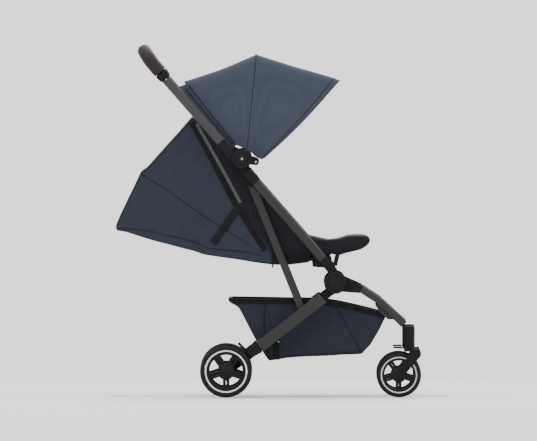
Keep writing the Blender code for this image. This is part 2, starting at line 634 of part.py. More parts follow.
def build_hood():
    outline = (HOOD_BOTTOM + HOOD_BACK + HOOD_FRONT)[::-1]
    body = plate([outline], -FABRIC_OUT, FABRIC_OUT)
    lift = [(x + 0.02 if i == 0 else x, z + SHELL) for i, (x, z) in enumerate(HOOD_BOTTOM)]
    lift[-1] = (HOOD_BOTTOM[-1][0] + SHELL, HOOD_BOTTOM[-1][1] + SHELL)
    back = [(HOOD_BACK[0][0] + SHELL, HOOD_BACK[0][1]), (HOOD_BACK[1][0] + SHELL, HOOD_BACK[1][1] - 0.001),
            (HOOD_BACK[2][0] + 0.002, HOOD_BACK[2][1] - SHELL), (HOOD_BACK[3][0] + SHELL, HOOD_BACK[3][1])]
    back.append((HOOD_BACK[3][0] + 0.08, HOOD_BACK[3][1]))
    front = [(-0.0400, 0.7600), (0.0900, 0.6000), (0.1600, 0.4900)]
    hollow = plate([(lift + back + front)[::-1]], -FABRIC_OUT + SHELL, FABRIC_OUT - SHELL)
    keep("seat_hood", cut(body, hollow), "dark_navy")


def build_seat():
    base_top = BASE_BOTTOM + BASE_THICK
    half = FABRIC_OUT - 0.0040
    base = block(SEAT_BACK, SEAT_FRONT, -half, half, BASE_BOTTOM, base_top)
    keep("seat_base", soften(base, 0.002, 1), "black")
    cushion = [(SEAT_BACK, base_top + LAYER_GAP), (SEAT_FRONT, base_top + LAYER_GAP), (SEAT_FRONT, 0.4690),
               (0.1550, 0.4760), (0.1178, CUSHION_TOP), (SEAT_BACK + 0.010, CUSHION_TOP),
               (SEAT_BACK, 0.4760)]
    keep("seat_cushion", soften(plate([cushion], -half, half), 0.004, 1), "dark_navy")
    lower = [(x, z + SHELL + 0.0008) for x, z in HOOD_BOTTOM[2:]]
    lower[-1] = (lower[-1][0] + 0.012, lower[-1][1])
    upper = [(x + 0.010, z + PAD_THICK) for x, z in lower[::-1]]
    upper[-1] = PAD_FRONT
    slab = plate([[(PAD_FRONT[0], PAD_FRONT[1] - 0.0480)] + lower + upper], -half + 0.004, half - 0.004)
    keep("backrest", soften(slab, 0.004, 1), "dark_navy", (RECLINE_HINGE[0], 0.0, RECLINE_HINGE[1]))
    hinge = (SEAT_FRONT + 0.0040, 0.4400)
    rest = [(SEAT_FRONT + LAYER_GAP, 0.4300), (0.2108, 0.4237), (0.2248, 0.4303), (0.2727, 0.4407),
            (0.2990, 0.4566), (0.3077, 0.4730), (0.2936, 0.4835), (0.2607, 0.4841), (0.2368, 0.4820),
            (0.2050, 0.4730), (SEAT_FRONT + LAYER_GAP, 0.4690)]
    keep("leg_rest", soften(plate([rest], -half, half), 0.003, 1), "navy", (hinge[0], 0.0, hinge[1]))


def build_harness():
    top = CUSHION_TOP + LAYER_GAP
    strap = block(0.0650, 0.1080, -0.0125, 0.0125, top + 0.0060, top + 0.0080)
    buckle = join(block(0.0400, 0.0690, -0.0230, 0.0230, top, top + 0.0140), strap)
    pocket = block(0.0480, 0.0610, -0.0070, 0.0070, top + 0.0060, top + 0.0200)
    keep("buckle", cut(buckle, pocket), "black")
    keep("buckle_button", soften(block(0.0483, 0.0607, -0.0067, 0.0067, top + 0.0095, top + 0.0155),
                                 0.001, 1), "black")
    lift = SHELL + 0.0008 + PAD_THICK + 0.0020
    bend = (HOOD_BOTTOM[3][0] + 0.010, HOOD_BOTTOM[3][1] + lift)
    path = [(PAD_FRONT[0] * 0.8 + bend[0] * 0.2, PAD_FRONT[1] * 0.8 + bend[1] * 0.2 + 0.0016), bend]
    path.append((path[1][0] * 0.68 + (HOOD_BOTTOM[4][0] + 0.010) * 0.32,
                 path[1][1] * 0.68 + (HOOD_BOTTOM[4][1] + lift) * 0.32))
    straps = [side_plate([ribbon(path, [0.0030] * 3)], 0.0350, 0.0650, s) for s in SIDES.values()]
    yoke = plate([ribbon([path[1], path[2]], [0.0030] * 2)], -0.0400, 0.0400)
    keep("shoulder_harness", join(straps[0], straps[1], yoke), "webbing",
         (RECLINE_HINGE[0], 0.0, RECLINE_HINGE[1]))


# ---- canopy ----
ROOF_REAR = [(-0.2620, 0.9380), (-0.2536, 0.9430), (-0.1450, 0.9805), (-0.0480, 1.0205)]
ROOF_FRONT = [(-0.0360, 1.0241), (0.0700, 0.9940), (0.1848, 0.9577), (0.2108, 0.9463)]
REAR_EDGE = [(-0.0580, 0.7520), (-0.1060, 0.7580)]
FRONT_EDGE = [(0.1381, 0.8662), (0.0484, 0.7735), (-0.0009, 0.7227), (-0.0203, 0.7120), (-0.0487, 0.7500)]


def canopy_panel(name, roof, edge, slot, pivot):
    """A fan of fabric: two side walls joined over the top by the roof."""
    body = plate([(roof + edge)[::-1]], -CANOPY_OUT, CANOPY_OUT)
    lowered = []
    for x, z in roof:
        run = math.hypot(x - UPPER_HUB[0], z - UPPER_HUB[1])
        scale = (run - CANOPY_SHELL) / run
        lowered.append((UPPER_HUB[0] + (x - UPPER_HUB[0]) * scale, UPPER_HUB[1] + (z - UPPER_HUB[1]) * scale))
    first = (2 * lowered[0][0] - lowered[1][0], 2 * lowered[0][1] - lowered[1][1])
    last = (2 * lowered[-1][0] - lowered[-2][0], 2 * lowered[-1][1] - lowered[-2][1])
    hollow_outline = [first] + lowered + [last, (last[0] + 0.03, last[1] - 0.14), (0.0, UPPER_HUB[1] - 0.05),
                                          (first[0] - 0.05, UPPER_HUB[1])]
    inner = CANOPY_OUT - CANOPY_SHELL
    hollow = plate([hollow_outline[::-1]], -inner, inner)
    keep(name, cut(body, hollow), slot, pivot)


def bow_path(kind, radius):
    """From one side's pivot up, across the top and down to the other pivot."""
    half = BOW_SIDE[kind]
    angle = BOW_ANGLE[kind]
    corner = 0.020
    start = 0.030 if kind == "rear" else 0.008
    path = []
    for side in (-1, 1):
        run = [(start, side * half), (radius - corner, side * half)]
        for i in range(1, 5):
            turn = math.pi / 2 * i / 4
            run.append((radius - corner + corner * math.sin(turn),
                        side * (half - corner + corner * math.cos(turn))))
        path += run if side < 0 else run[::-1]
    return [(polar(UPPER_HUB, r, angle)[0], y, polar(UPPER_HUB, r, angle)[1]) for r, y in path]


def build_canopy():
    pivot = (UPPER_HUB[0], 0.0, UPPER_HUB[1])
    under = BOW_RADIUS + CANOPY_SHELL + LAYER_GAP
    radii = {"rear": 0.2830 - under, "mid": 0.3100 - under, "front": 0.3680 - under}
    for kind, radius in radii.items():
        bow = tube(bow_path(kind, radius), BOW_RADIUS)
        eye_in, eye_out = BOW_SIDE[kind] - 0.0034, BOW_SIDE[kind] + 0.0034
        for side in SIDES.values():
            if kind == "rear":
                eye = side_rod(polar(UPPER_HUB, 0.0300, BOW_ANGLE[kind]), 0.0070, eye_in,
                               MOUNT_IN - LAYER_GAP, side, 16)
                bow = join(bow, eye)
            else:
                eye = side_rod(UPPER_HUB, 0.0110, eye_in, eye_out, side, 20)
                bore = side_rod(UPPER_HUB, 0.0043, eye_in - 0.01, eye_out + 0.006, side, 16)
                bow = cut(join(bow, eye), bore)
        keep("canopy_" + kind + "_bow", bow, "black", pivot)
    canopy_panel("canopy_rear_panel", ROOF_REAR, REAR_EDGE, "navy", pivot)
    canopy_panel("canopy_front_panel", ROOF_FRONT, FRONT_EDGE, "navy", pivot)


# ---- basket ----
BASKET_RIM = [(0.3489, 0.2518), (0.1860, 0.2890), (-0.1178, 0.2972)]
BASKET_BODY = [(-0.1178, 0.2830), (-0.0921, 0.2697), (-0.0173, 0.1337), (0.0006, 0.1090), (0.0484, 0.1172),
               (0.2772, 0.1292), (0.3056, 0.1576), (0.3265, 0.1935), (0.3489, 0.2368)]


def build_basket():
    body = plate([BASKET_RIM + BASKET_BODY], -FABRIC_OUT, FABRIC_OUT)
    inner = inset(BASKET_RIM + BASKET_BODY, SHELL)
    raised = [(x, z + 0.05) for x, z in inner[:3]]
    hollow = plate([raised + inner[3:]], -FABRIC_OUT + SHELL, FABRIC_OUT - SHELL)
    basket = cut(body, hollow)
    for side in SIDES.values():
        low, high = sorted((side * (FABRIC_OUT - 0.002), side * (ARM_OUT - 0.004)))
        basket = join(basket, block(0.0190, 0.0350, low, high, 0.1480, 0.1632))
    keep("basket", basket, "dark_navy")


def main():
    clear_scene()
    build_cross_members()
    build_rear_axle()
    build_brake_pedal()
    build_front_brace()
    build_grip()
    for tag, side in SIDES.items():
        build_arms(tag, side)
        build_upper_hub(tag, side)
        build_lower_hub(tag, side)
        build_rear_leg(tag, side)
        build_link(tag, side)
        build_front_leg(tag, side)
        build_caster(tag, side)
        build_wheels(tag, side)
    build_hood()
    build_seat()
    build_harness()
    build_canopy()
    build_basket()


main()
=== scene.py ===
"""The stroller's looks: fabric, leather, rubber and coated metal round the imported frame."""
import json
import math

import bmesh
import bpy
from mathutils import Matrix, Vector, noise
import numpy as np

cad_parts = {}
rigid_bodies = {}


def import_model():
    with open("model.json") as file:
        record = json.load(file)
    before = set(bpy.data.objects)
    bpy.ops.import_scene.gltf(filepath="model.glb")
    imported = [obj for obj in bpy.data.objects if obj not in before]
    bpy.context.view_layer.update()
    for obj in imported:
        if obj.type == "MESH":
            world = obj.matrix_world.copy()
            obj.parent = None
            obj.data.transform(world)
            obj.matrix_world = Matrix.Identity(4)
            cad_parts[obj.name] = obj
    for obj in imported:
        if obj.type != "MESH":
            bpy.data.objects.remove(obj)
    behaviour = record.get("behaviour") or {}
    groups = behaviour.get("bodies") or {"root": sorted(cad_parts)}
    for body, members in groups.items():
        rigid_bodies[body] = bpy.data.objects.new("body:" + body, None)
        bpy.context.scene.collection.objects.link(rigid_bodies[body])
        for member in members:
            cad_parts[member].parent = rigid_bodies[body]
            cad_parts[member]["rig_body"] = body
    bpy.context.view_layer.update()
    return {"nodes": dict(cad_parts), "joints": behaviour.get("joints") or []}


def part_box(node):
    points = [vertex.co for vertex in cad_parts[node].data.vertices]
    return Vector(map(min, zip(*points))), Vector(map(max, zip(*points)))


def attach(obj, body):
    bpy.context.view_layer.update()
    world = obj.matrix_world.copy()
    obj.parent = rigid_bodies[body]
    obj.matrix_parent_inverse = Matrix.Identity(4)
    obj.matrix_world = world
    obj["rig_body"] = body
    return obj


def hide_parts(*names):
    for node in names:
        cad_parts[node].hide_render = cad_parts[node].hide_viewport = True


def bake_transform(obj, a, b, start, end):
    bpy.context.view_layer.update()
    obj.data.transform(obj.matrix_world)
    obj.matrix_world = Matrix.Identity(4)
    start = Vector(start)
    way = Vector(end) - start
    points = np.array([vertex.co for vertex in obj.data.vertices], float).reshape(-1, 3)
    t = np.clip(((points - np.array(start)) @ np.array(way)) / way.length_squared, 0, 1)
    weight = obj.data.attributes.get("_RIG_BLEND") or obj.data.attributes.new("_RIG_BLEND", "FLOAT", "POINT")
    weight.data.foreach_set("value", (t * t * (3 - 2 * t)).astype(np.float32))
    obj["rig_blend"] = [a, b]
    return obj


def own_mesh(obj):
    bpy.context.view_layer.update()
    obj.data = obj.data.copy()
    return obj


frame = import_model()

SIDES = {"l": 1, "r": -1}


# ---- shader expressions ----
class Socket:
    """One node socket; arithmetic on it adds Math nodes to its tree."""

    def __init__(self, kit, socket):
        self.kit, self.socket = kit, socket

    def _math(self, operation, a, b):
        return self.kit.node("ShaderNodeMath", {"operation": operation}, {0: a, 1: b})

    def __add__(self, other):
        return self._math("ADD", self, other)

    def __mul__(self, other):
        return self._math("MULTIPLY", self, other)

    def __sub__(self, other):
        return self._math("SUBTRACT", self, other)

    def __rsub__(self, other):
        return self._math("SUBTRACT", other, self)

    def __pow__(self, other):
        return self._math("POWER", self, other)

    def above(self, level):
        return self._math("GREATER_THAN", self, level)

    __radd__, __rmul__ = __add__, __mul__


class Kit:
    """A Principled material that is built up from node calls."""

    def __init__(self, name, rough, metal=0.0, **constants):
        self.material = bpy.data.materials.new(name)
        self.material.use_nodes = True
        self.tree = self.material.node_tree
        self.shader = self.tree.nodes["Principled BSDF"]
        self.set("Roughness", rough)
        self.set("Metallic", metal)
        for key, value in constants.items():
            self.set(key.replace("_", " "), value)
        self.place = self.node("ShaderNodeTexCoord", output="Object")

    def set(self, name, value):
        socket = self.shader.inputs[name]
        if isinstance(value, Socket):
            self.tree.links.new(value.socket, socket)
        else:
            socket.default_value = value

    def node(self, kind, settings=None, inputs=None, output=0):
        item = self.tree.nodes.new(kind)
        for key, value in (settings or {}).items():
            if key == "stops":
                for element, (at, color) in zip(item.color_ramp.elements, value):
                    element.position, element.color = at, color
            else:
                setattr(item, key, value)
        for key, value in (inputs or {}).items():
            if isinstance(value, Socket):
                self.tree.links.new(value.socket, item.inputs[key])
            else:
                item.inputs[key].default_value = value
        return Socket(self, item.outputs[output])

    def noise(self, scale, detail=3.0, rough=0.55, place=None):
        return self.node("ShaderNodeTexNoise", None,
                         {"Vector": place or self.place, "Scale": scale, "Detail": detail, "Roughness": rough})

    def mix(self, factor, first, second):
        return self.node("ShaderNodeMix", {"data_type": "RGBA"}, {0: factor, 6: first, 7: second}, 2)

    def bump(self, height, strength, distance):
        self.set("Normal", self.node("ShaderNodeBump", None,
                                     {"Height": height, "Strength": strength, "Distance": distance}))

    def stretched(self, scale):
        return self.node("ShaderNodeMapping", None, {"Vector": self.place, "Scale": scale})


def shade(color, factor):
    return tuple(min(1.0, c * factor) for c in color) + (1.0,)


def woven(name, color, thread=0.0011, sheen=0.04, contrast=0.16, rough=0.86):
    """Plain weave: two crossed thread waves, mottled yarn colour and a soft nap."""
    kit = Kit(name, rough, Sheen_Weight=sheen, Sheen_Roughness=0.5, Specular_IOR_Level=0.22)
    warp = kit.node("ShaderNodeTexWave", {"wave_type": "BANDS", "bands_direction": "X"},
                    {"Vector": kit.place, "Scale": 0.31 / thread, "Distortion": 0.6, "Detail": 1.0,
                     "Detail Scale": 2.0})
    weft = kit.node("ShaderNodeTexWave", {"wave_type": "BANDS", "bands_direction": "Z"},
                    {"Vector": kit.place, "Scale": 0.31 / thread, "Distortion": 0.6, "Detail": 1.0,
                     "Detail Scale": 2.0})
    cross = kit.node("ShaderNodeTexWave", {"wave_type": "BANDS", "bands_direction": "Y"},
                     {"Vector": kit.place, "Scale": 0.31 / thread, "Distortion": 0.6})
    weave = (warp + weft + cross) * 0.333
    yarn = kit.noise(420.0, 2.0)
    cloud = kit.noise(9.0, 4.0)
    tone = weave * 0.45 + yarn * 0.25 + cloud * 0.30
    kit.set("Base Color", kit.mix(tone, shade(color, 1 - contrast * 2), shade(color, 1 + contrast * 2)))
    kit.set("Roughness", 0.80 + yarn * 0.16)
    kit.bump(weave * 0.7 + yarn * 0.3, 0.45, 0.0004)
    return kit.material


def coated_metal(name, color, rough=0.42):
    """Powder coat over aluminium: orange-peel grain, dust and a few fine rubs."""
    kit = Kit(name, rough, 0.55, Coat_Weight=0.12, Coat_Roughness=0.35)
    grain = kit.noise(1500.0, 2.0)
    dust = kit.noise(18.0, 5.0)
    rubs = kit.noise(60.0, 3.0, place=kit.stretched((1.0, 8.0, 1.0)))
    kit.set("Base Color", kit.mix(dust * 0.6 + grain * 0.4, shade(color, 0.84), shade(color, 1.18)))
    kit.set("Roughness", rough - 0.07 + rubs * 0.16)
    kit.bump(grain, 0.25, 0.00015)
    return kit.material


def moulded(name, color, rough=0.50):
    """Moulded plastic with a fine spark-eroded grain and faint handling marks."""
    kit = Kit(name, rough, Specular_IOR_Level=0.16)
    grain = kit.noise(2200.0, 2.0)
    marks = kit.noise(35.0, 5.0)
    kit.set("Base Color", kit.mix(marks * 0.7 + grain * 0.3, shade(color, 0.80), shade(color, 1.30)))
    kit.set("Roughness", rough - 0.08 + marks * 0.18)
    kit.bump(grain, 0.30, 0.0001)
    return kit.material


def leather(name, color):
    """Leather-look wrap: pebbled cells with painted shade in their creases and a worn sheen."""
    kit = Kit(name, 0.5, Specular_IOR_Level=0.25)
    cells = kit.node("ShaderNodeTexVoronoi", {"feature": "DISTANCE_TO_EDGE"},
                     {"Vector": kit.place, "Scale": 520.0}, "Distance")
    pores = kit.noise(900.0, 3.0)
    wear = kit.noise(22.0, 4.0)
    raised = cells * 2.2 + pores * 0.3
    # The colour mixes a random wear tone with painted shade: darker in the creases at the cell edges.
    kit.set("Base Color", kit.mix(wear * 0.6 + cells * 1.1, shade(color, 0.62), shade(color, 1.55)))
    kit.set("Roughness", 0.42 + wear * 0.24)
    kit.bump(raised, 0.5, 0.0004)
    return kit.material


def rubber(name, color):
    """Foam rubber with a dry, dusty surface."""
    kit = Kit(name, 0.88, Specular_IOR_Level=0.25)
    dust = kit.noise(45.0, 6.0)
    pits = kit.noise(1300.0, 2.0)
    kit.set("Base Color", kit.mix(dust * 0.7 + pits * 0.3, shade(color, 0.75), shade(color, 1.35)))
    kit.set("Roughness", 0.80 + dust * 0.14)
    kit.bump(pits, 0.35, 0.0002)
    return kit.material


def ribbed(name, color, pitch=0.0016):
    """Webbing: ribs across the strap with a herringbone wobble."""
    kit = Kit(name, 0.8, Sheen_Weight=0.05, Specular_IOR_Level=0.22)
    ribs = kit.node("ShaderNodeTexWave", {"wave_type": "BANDS", "bands_direction": "DIAGONAL"},
                    {"Vector": kit.place, "Scale": 0.31 / pitch, "Distortion": 1.2, "Detail": 2.0})
    fibres = kit.noise(700.0, 2.0)
    kit.set("Base Color", kit.mix(ribs * 0.6 + fibres * 0.4, shade(color, 0.6), shade(color, 1.7)))
    kit.set("Roughness", 0.74 + fibres * 0.18)
    kit.bump(ribs, 0.6, 0.0004)
    return kit.material


def netting(name, color, gap_color, pitch=0.0042):
    """Open mesh: pale threads round dark round holes."""
    kit = Kit(name, 0.8, Sheen_Weight=0.05, Specular_IOR_Level=0.22)
    holes = kit.node("ShaderNodeTexVoronoi", {"feature": "F1"},
                     {"Vector": kit.place, "Scale": 1.0 / pitch, "Randomness": 0.15}, "Distance")
    yarn = kit.noise(500.0, 2.0)
    solid = holes.above(0.40)
    kit.set("Base Color", kit.mix(solid, shade(gap_color, 1.0), shade(color, 1.0)))
    kit.set("Roughness", 0.72 + yarn * 0.2)
    kit.bump(holes, 0.5, 0.0006)
    return kit.material


def brushed(name, color):
    kit = Kit(name, 0.3, 1.0)
    streaks = kit.noise(900.0, 3.0, place=kit.stretched((1.0, 0.05, 1.0)))
    kit.set("Base Color", kit.mix(streaks, shade(color, 0.8), shade(color, 1.15)))
    kit.set("Roughness", 0.24 + streaks * 0.2)
    kit.bump(streaks, 0.2, 0.0001)
    return kit.material


LOOK = {
    "arm_grey": coated_metal("arm_coat", (0.026, 0.026, 0.0275)),
    "leg_grey": coated_metal("leg_coat", (0.0115, 0.0115, 0.0122)),
    "black": moulded("black_plastic", (0.0016, 0.0016, 0.0018), 0.56),
    "gloss_black": moulded("hub_face_plastic", (0.0024, 0.0024, 0.0027), 0.48),
    "grip_brown": leather("grip_leather", (0.0072, 0.0036, 0.0032)),
    "navy": woven("canopy_cloth", (0.0270, 0.0335, 0.0500)),
    "dark_navy": woven("hood_cloth", (0.0135, 0.0168, 0.0275)),
    "seat_cloth": woven("seat_cloth", (0.0034, 0.0040, 0.0058), 0.0016),
    "basket_cloth": woven("basket_cloth", (0.0100, 0.0124, 0.0205)),
    "lining": woven("black_lining", (0.0012, 0.0013, 0.0015), 0.0013),
    "webbing": ribbed("webbing", (0.0014, 0.0014, 0.0015)),
    # The piping cloth also serves as painted shade on the canopy's outer pleat cords.
    "piping": woven("piping_cord", (0.0048, 0.0058, 0.0092), 0.0008),
    "mesh": netting("air_mesh", (0.055, 0.058, 0.062), (0.006, 0.007, 0.009)),
    "tyre": rubber("tyre_rubber", (0.0050, 0.0049, 0.0046)),
    "rim": moulded("rim_plastic", (0.0018, 0.0018, 0.0020), 0.50),
    "ring": moulded("ring_plastic", (0.60, 0.60, 0.58), 0.42),
    "steel": brushed("axle_steel", (0.30, 0.30, 0.31)),
    "stitch": woven("stitch_thread", (0.0280, 0.0320, 0.0420), 0.0006),
}


# ---- places, taken from the frame ----
PIVOT = {joint["name"]: joint.get("pos_m") for joint in frame["joints"]}
UPPER_HUB = (PIVOT["handle_fold"][0], PIVOT["handle_fold"][2])
LOWER_HUB = (PIVOT["rear_leg_fold"][0], PIVOT["rear_leg_fold"][2])
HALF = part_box("seat_cushion")[1][1]                # half width of the seat pads
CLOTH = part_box("seat_hood")[1][1]                  # half width of the hood and basket
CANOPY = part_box("canopy_front_panel")[1][1]
HUB_FACE = 0.2122                                  # outer face of a hub's knuckle
ARM_TILT = math.radians(48.87)
UP = (-math.cos(ARM_TILT), math.sin(ARM_TILT))
AHEAD = (math.sin(ARM_TILT), math.cos(ARM_TILT))
ARM_BACK = 0.0149                                  # arm centre line behind the upper hub


def arm(along, ahead=0.0):
    """A point that far up the arm from the upper hub, and that far ahead of the arm's centre line."""
    off = ahead - ARM_BACK
    return (UPPER_HUB[0] + along * UP[0] + off * AHEAD[0], UPPER_HUB[1] + along * UP[1] + off * AHEAD[1])


# ---- mesh helpers ----
def show(name, item, look, body):
    """File a finished mesh as a piece: its name, finish and body."""
    item.name = item.data.name = name
    item.data.materials.clear()
    item.data.materials.append(LOOK[look])
    if item.type == "MESH":
        item.data.shade_smooth()
        item.data.set_sharp_from_angle(angle=math.radians(38.0))
    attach(item, body)
    return item


def add(item):
    bpy.context.scene.collection.objects.link(item)
    return item


def baked(item):
    """A new mesh object that holds the item with its modifiers applied."""
    bpy.context.view_layer.update()
    graph = bpy.context.evaluated_depsgraph_get()
    mesh = bpy.data.meshes.new_from_object(item.evaluated_get(graph))
    mesh.transform(item.matrix_world)
    bpy.data.objects.remove(item, do_unlink=True)
    work = bmesh.new()
    work.from_mesh(mesh)
    bmesh.ops.remove_doubles(work, verts=work.verts, dist=0.00001)
    bmesh.ops.recalc_face_normals(work, faces=work.faces)
    work.to_mesh(mesh)
    work.free()
    return add(bpy.data.objects.new("piece", mesh))


def plate(outlines, y_low, y_high):
    """A flat piece in the side plane: an outline, then its holes."""
    curve = bpy.data.curves.new("outline", "CURVE")
    curve.dimensions, curve.fill_mode, curve.extrude = "2D", "BOTH", abs(y_high - y_low) / 2
    for outline in outlines:
        spline = curve.splines.new("POLY")
        spline.points.add(len(outline) - 1)
        for point, (x, z) in zip(spline.points, outline):
            point.co = (x, z, 0.0, 1.0)
        spline.use_cyclic_u = True
    item = add(bpy.data.objects.new("outline", curve))
    item.rotation_euler.x = math.pi / 2
    item.location.y = (y_low + y_high) / 2
    return baked(item)


def rounded(item, width, segments=3, angle=40.0):
    bevel = item.modifiers.new("edge", "BEVEL")
    bevel.width, bevel.segments = width, segments
    bevel.limit_method, bevel.angle_limit = "ANGLE", math.radians(angle)
    return baked(item)


def carved(item, cutter):
    modifier = item.modifiers.new("cut", "BOOLEAN")
    modifier.object, modifier.operation = cutter, "DIFFERENCE"
    result = baked(item)
    bpy.data.objects.remove(cutter, do_unlink=True)
    return result


def turned(center, profile, side, steps=72):
    """A body of revolution about y: the profile holds (radius, distance outward)."""
    work = bmesh.new()
    rings = []
    for radius, out in profile:
        if radius < 1e-6:
            rings.append([work.verts.new((center[0], side * out, center[1]))])
            continue
        ring = []
        for i in range(steps):
            angle = 2 * math.pi * i / steps
            ring.append(work.verts.new((center[0] + radius * math.cos(angle), side * out,
                                        center[1] + radius * math.sin(angle))))
        rings.append(ring)
    for first, second in zip(rings, rings[1:] + (rings[:1] if profile[0][0] > 1e-6 else [])):
        for i in range(steps):
            j = (i + 1) % steps
            corners = [first[i % len(first)], first[j % len(first)], second[j % len(second)],
                       second[i % len(second)]]
            work.faces.new(list(dict.fromkeys(corners)))
    bmesh.ops.recalc_face_normals(work, faces=work.faces)
    mesh = bpy.data.meshes.new("turned")
    work.to_mesh(mesh)
    work.free()
    return add(bpy.data.objects.new("turned", mesh))


def cord_along(points, radius, sides=2):
    """A thin round seam, piping or thread along a path."""
    curve = bpy.data.curves.new("path", "CURVE")
    curve.dimensions, curve.bevel_depth, curve.bevel_resolution = "3D", radius, sides
    curve.use_fill_caps = True
    spline = curve.splines.new("POLY")
    spline.points.add(len(points) - 1)
    for point, place in zip(spline.points, points):
        point.co = (*place, 1.0)
    return baked(add(bpy.data.objects.new("path", curve)))


def smooth_path(points, steps=8):
    """A Catmull-Rom curve through the points."""
    ends = [points[0]] + list(points) + [points[-1]]
    path = []
    for a, b, c, d in zip(ends, ends[1:], ends[2:], ends[3:]):
        for i in range(steps):
            t = i / steps
            path.append(tuple(0.5 * (2 * q + (r - p) * t + (2 * p - 5 * q + 4 * r - s) * t * t
                                     + (3 * q - p - 3 * r + s) * t ** 3)
                              for p, q, r, s in zip(a, b, c, d)))
    return path + [tuple(points[-1])]


def ribbon(path, width):
    """The outline of a strip of that width along a path."""
    left, right = [], []
    for i, point in enumerate(path):
        before, after = path[max(i - 1, 0)], path[min(i + 1, len(path) - 1)]
        run = math.hypot(after[0] - before[0], after[1] - before[1])
        nx, nz = -(after[1] - before[1]) / run, (after[0] - before[0]) / run
        left.append((point[0] + nx * width / 2, point[1] + nz * width / 2))
        right.append((point[0] - nx * width / 2, point[1] - nz * width / 2))
    return left + right[::-1]


def circle(center, radius, count=64):
    return [(center[0] + radius * math.cos(2 * math.pi * i / count),
             center[1] + radius * math.sin(2 * math.pi * i / count)) for i in range(count)]


def side_pair(y_in, y_out, side):
    return sorted((side * y_in, side * y_out))


def remeshed(item, voxel, passes):
    """Even small faces with softened edges."""
    modifier = item.modifiers.new("remesh", "REMESH")
    modifier.mode, modifier.voxel_size = "VOXEL", voxel
    relax = item.modifiers.new("relax", "SMOOTH")
    relax.factor, relax.iterations = 0.5, passes
    return baked(item)


def rippled(item, size, scale, seed=0.0):
    """Move every point along its normal by soft noise, as cloth that isn't quite taut."""
    mesh = item.data
    moves = []
    for vertex in mesh.vertices:
        place = vertex.co * scale + Vector((seed, seed, seed))
        moves.append(vertex.normal * noise.noise(place) * size)
    for vertex, move in zip(mesh.vertices, moves):
        vertex.co += move
    return item


def puffed(item, cap, pressure=4.0):
    """Blow the pad up as cloth under pressure, with each point's travel capped."""
    start = [vertex.co.copy() for vertex in item.data.vertices]
    cloth = item.modifiers.new("cloth", "CLOTH")
    cloth.settings.use_pressure = True
    cloth.settings.uniform_pressure_force = pressure
    cloth.settings.effector_weights.gravity = 0.0
    cloth.settings.quality = 5
    for step in range(1, 21):
        bpy.context.scene.frame_set(step)
    item = baked(item)
    for vertex, origin in zip(item.data.vertices, start):
        travel = vertex.co - origin
        if travel.length > cap:
            vertex.co = origin + travel.normalized() * cap
    bpy.context.scene.frame_set(1)
    return item


def finer(item, levels=1):
    modifier = item.modifiers.new("subdivision", "SUBSURF")
    modifier.levels = modifier.render_levels = levels
    return baked(item)


# ---- frame pieces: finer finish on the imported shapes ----
FINISH_OF = {"upper_arm": "arm_grey", "lower_arm": "leg_grey", "rear_leg": "leg_grey", "link": "leg_grey",
             "front_leg": "leg_grey", "front_brace": "leg_grey", "main_cross": "leg_grey",
             "rear_axle": "steel", "shoulder_harness": "webbing", "seat_base": "lining"}


def finish_frame():
    """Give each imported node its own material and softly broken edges."""
    for name, item in frame["nodes"].items():
        look = next((finish for start, finish in FINISH_OF.items() if name.startswith(start)), "black")
        item.data.materials.clear()
        item.data.materials.append(LOOK[look])
        edge = item.modifiers.new("edge", "BEVEL")
        edge.width, edge.segments = 0.0007, 2
        edge.limit_method, edge.angle_limit = "ANGLE", math.radians(35.0)
        edge.use_clamp_overlap = True


# ---- wheels ----
WHEELS = {
    "rear": dict(center=(-0.1280, 0.0780), tyre=0.0780, rim=0.0650, ring=(0.0588, 0.0642), window=0.0500,
                 hub=0.0250, y=(0.1920, 0.2250)),
    "front": dict(center=(0.3893, 0.0667), tyre=0.0667, rim=0.0555, ring=(0.0506, 0.0550), window=0.0440,
                  hub=0.0225, y=(0.1560, 0.1820)),
}
SPOKES = 5


def spoke_holes(center, hub, window, spoke, slot):
    """Windows between the double spokes and the slot down the middle of each."""
    pitch = 2 * math.pi / SPOKES
    holes = []
    for i in range(SPOKES):
        down = -math.pi / 2 + pitch * i
        window_edge = []
        for radius, steps, order in ((window, 12, 1), (hub, 6, -1)):
            half = math.asin(spoke / 2 / radius)
            angles = [down + half + (pitch - 2 * half) * j / steps for j in range(steps + 1)]
            window_edge += [(center[0] + radius * math.cos(a), center[1] + radius * math.sin(a))
                            for a in angles[::order]]
        holes.append(window_edge)
        along, across = (math.cos(down), math.sin(down)), (-math.sin(down), math.cos(down))
        slot_edge = []
        for at, turn in ((window - 0.004, -math.pi / 2), (hub + 0.004, math.pi / 2)):
            for j in range(7):
                angle = turn + math.pi * j / 6
                a = at + slot / 2 * math.cos(angle)
                b = slot / 2 * math.sin(angle)
                slot_edge.append((center[0] + along[0] * a + across[0] * b,
                                  center[1] + along[1] * a + across[1] * b))
        holes.append(slot_edge)
    return holes


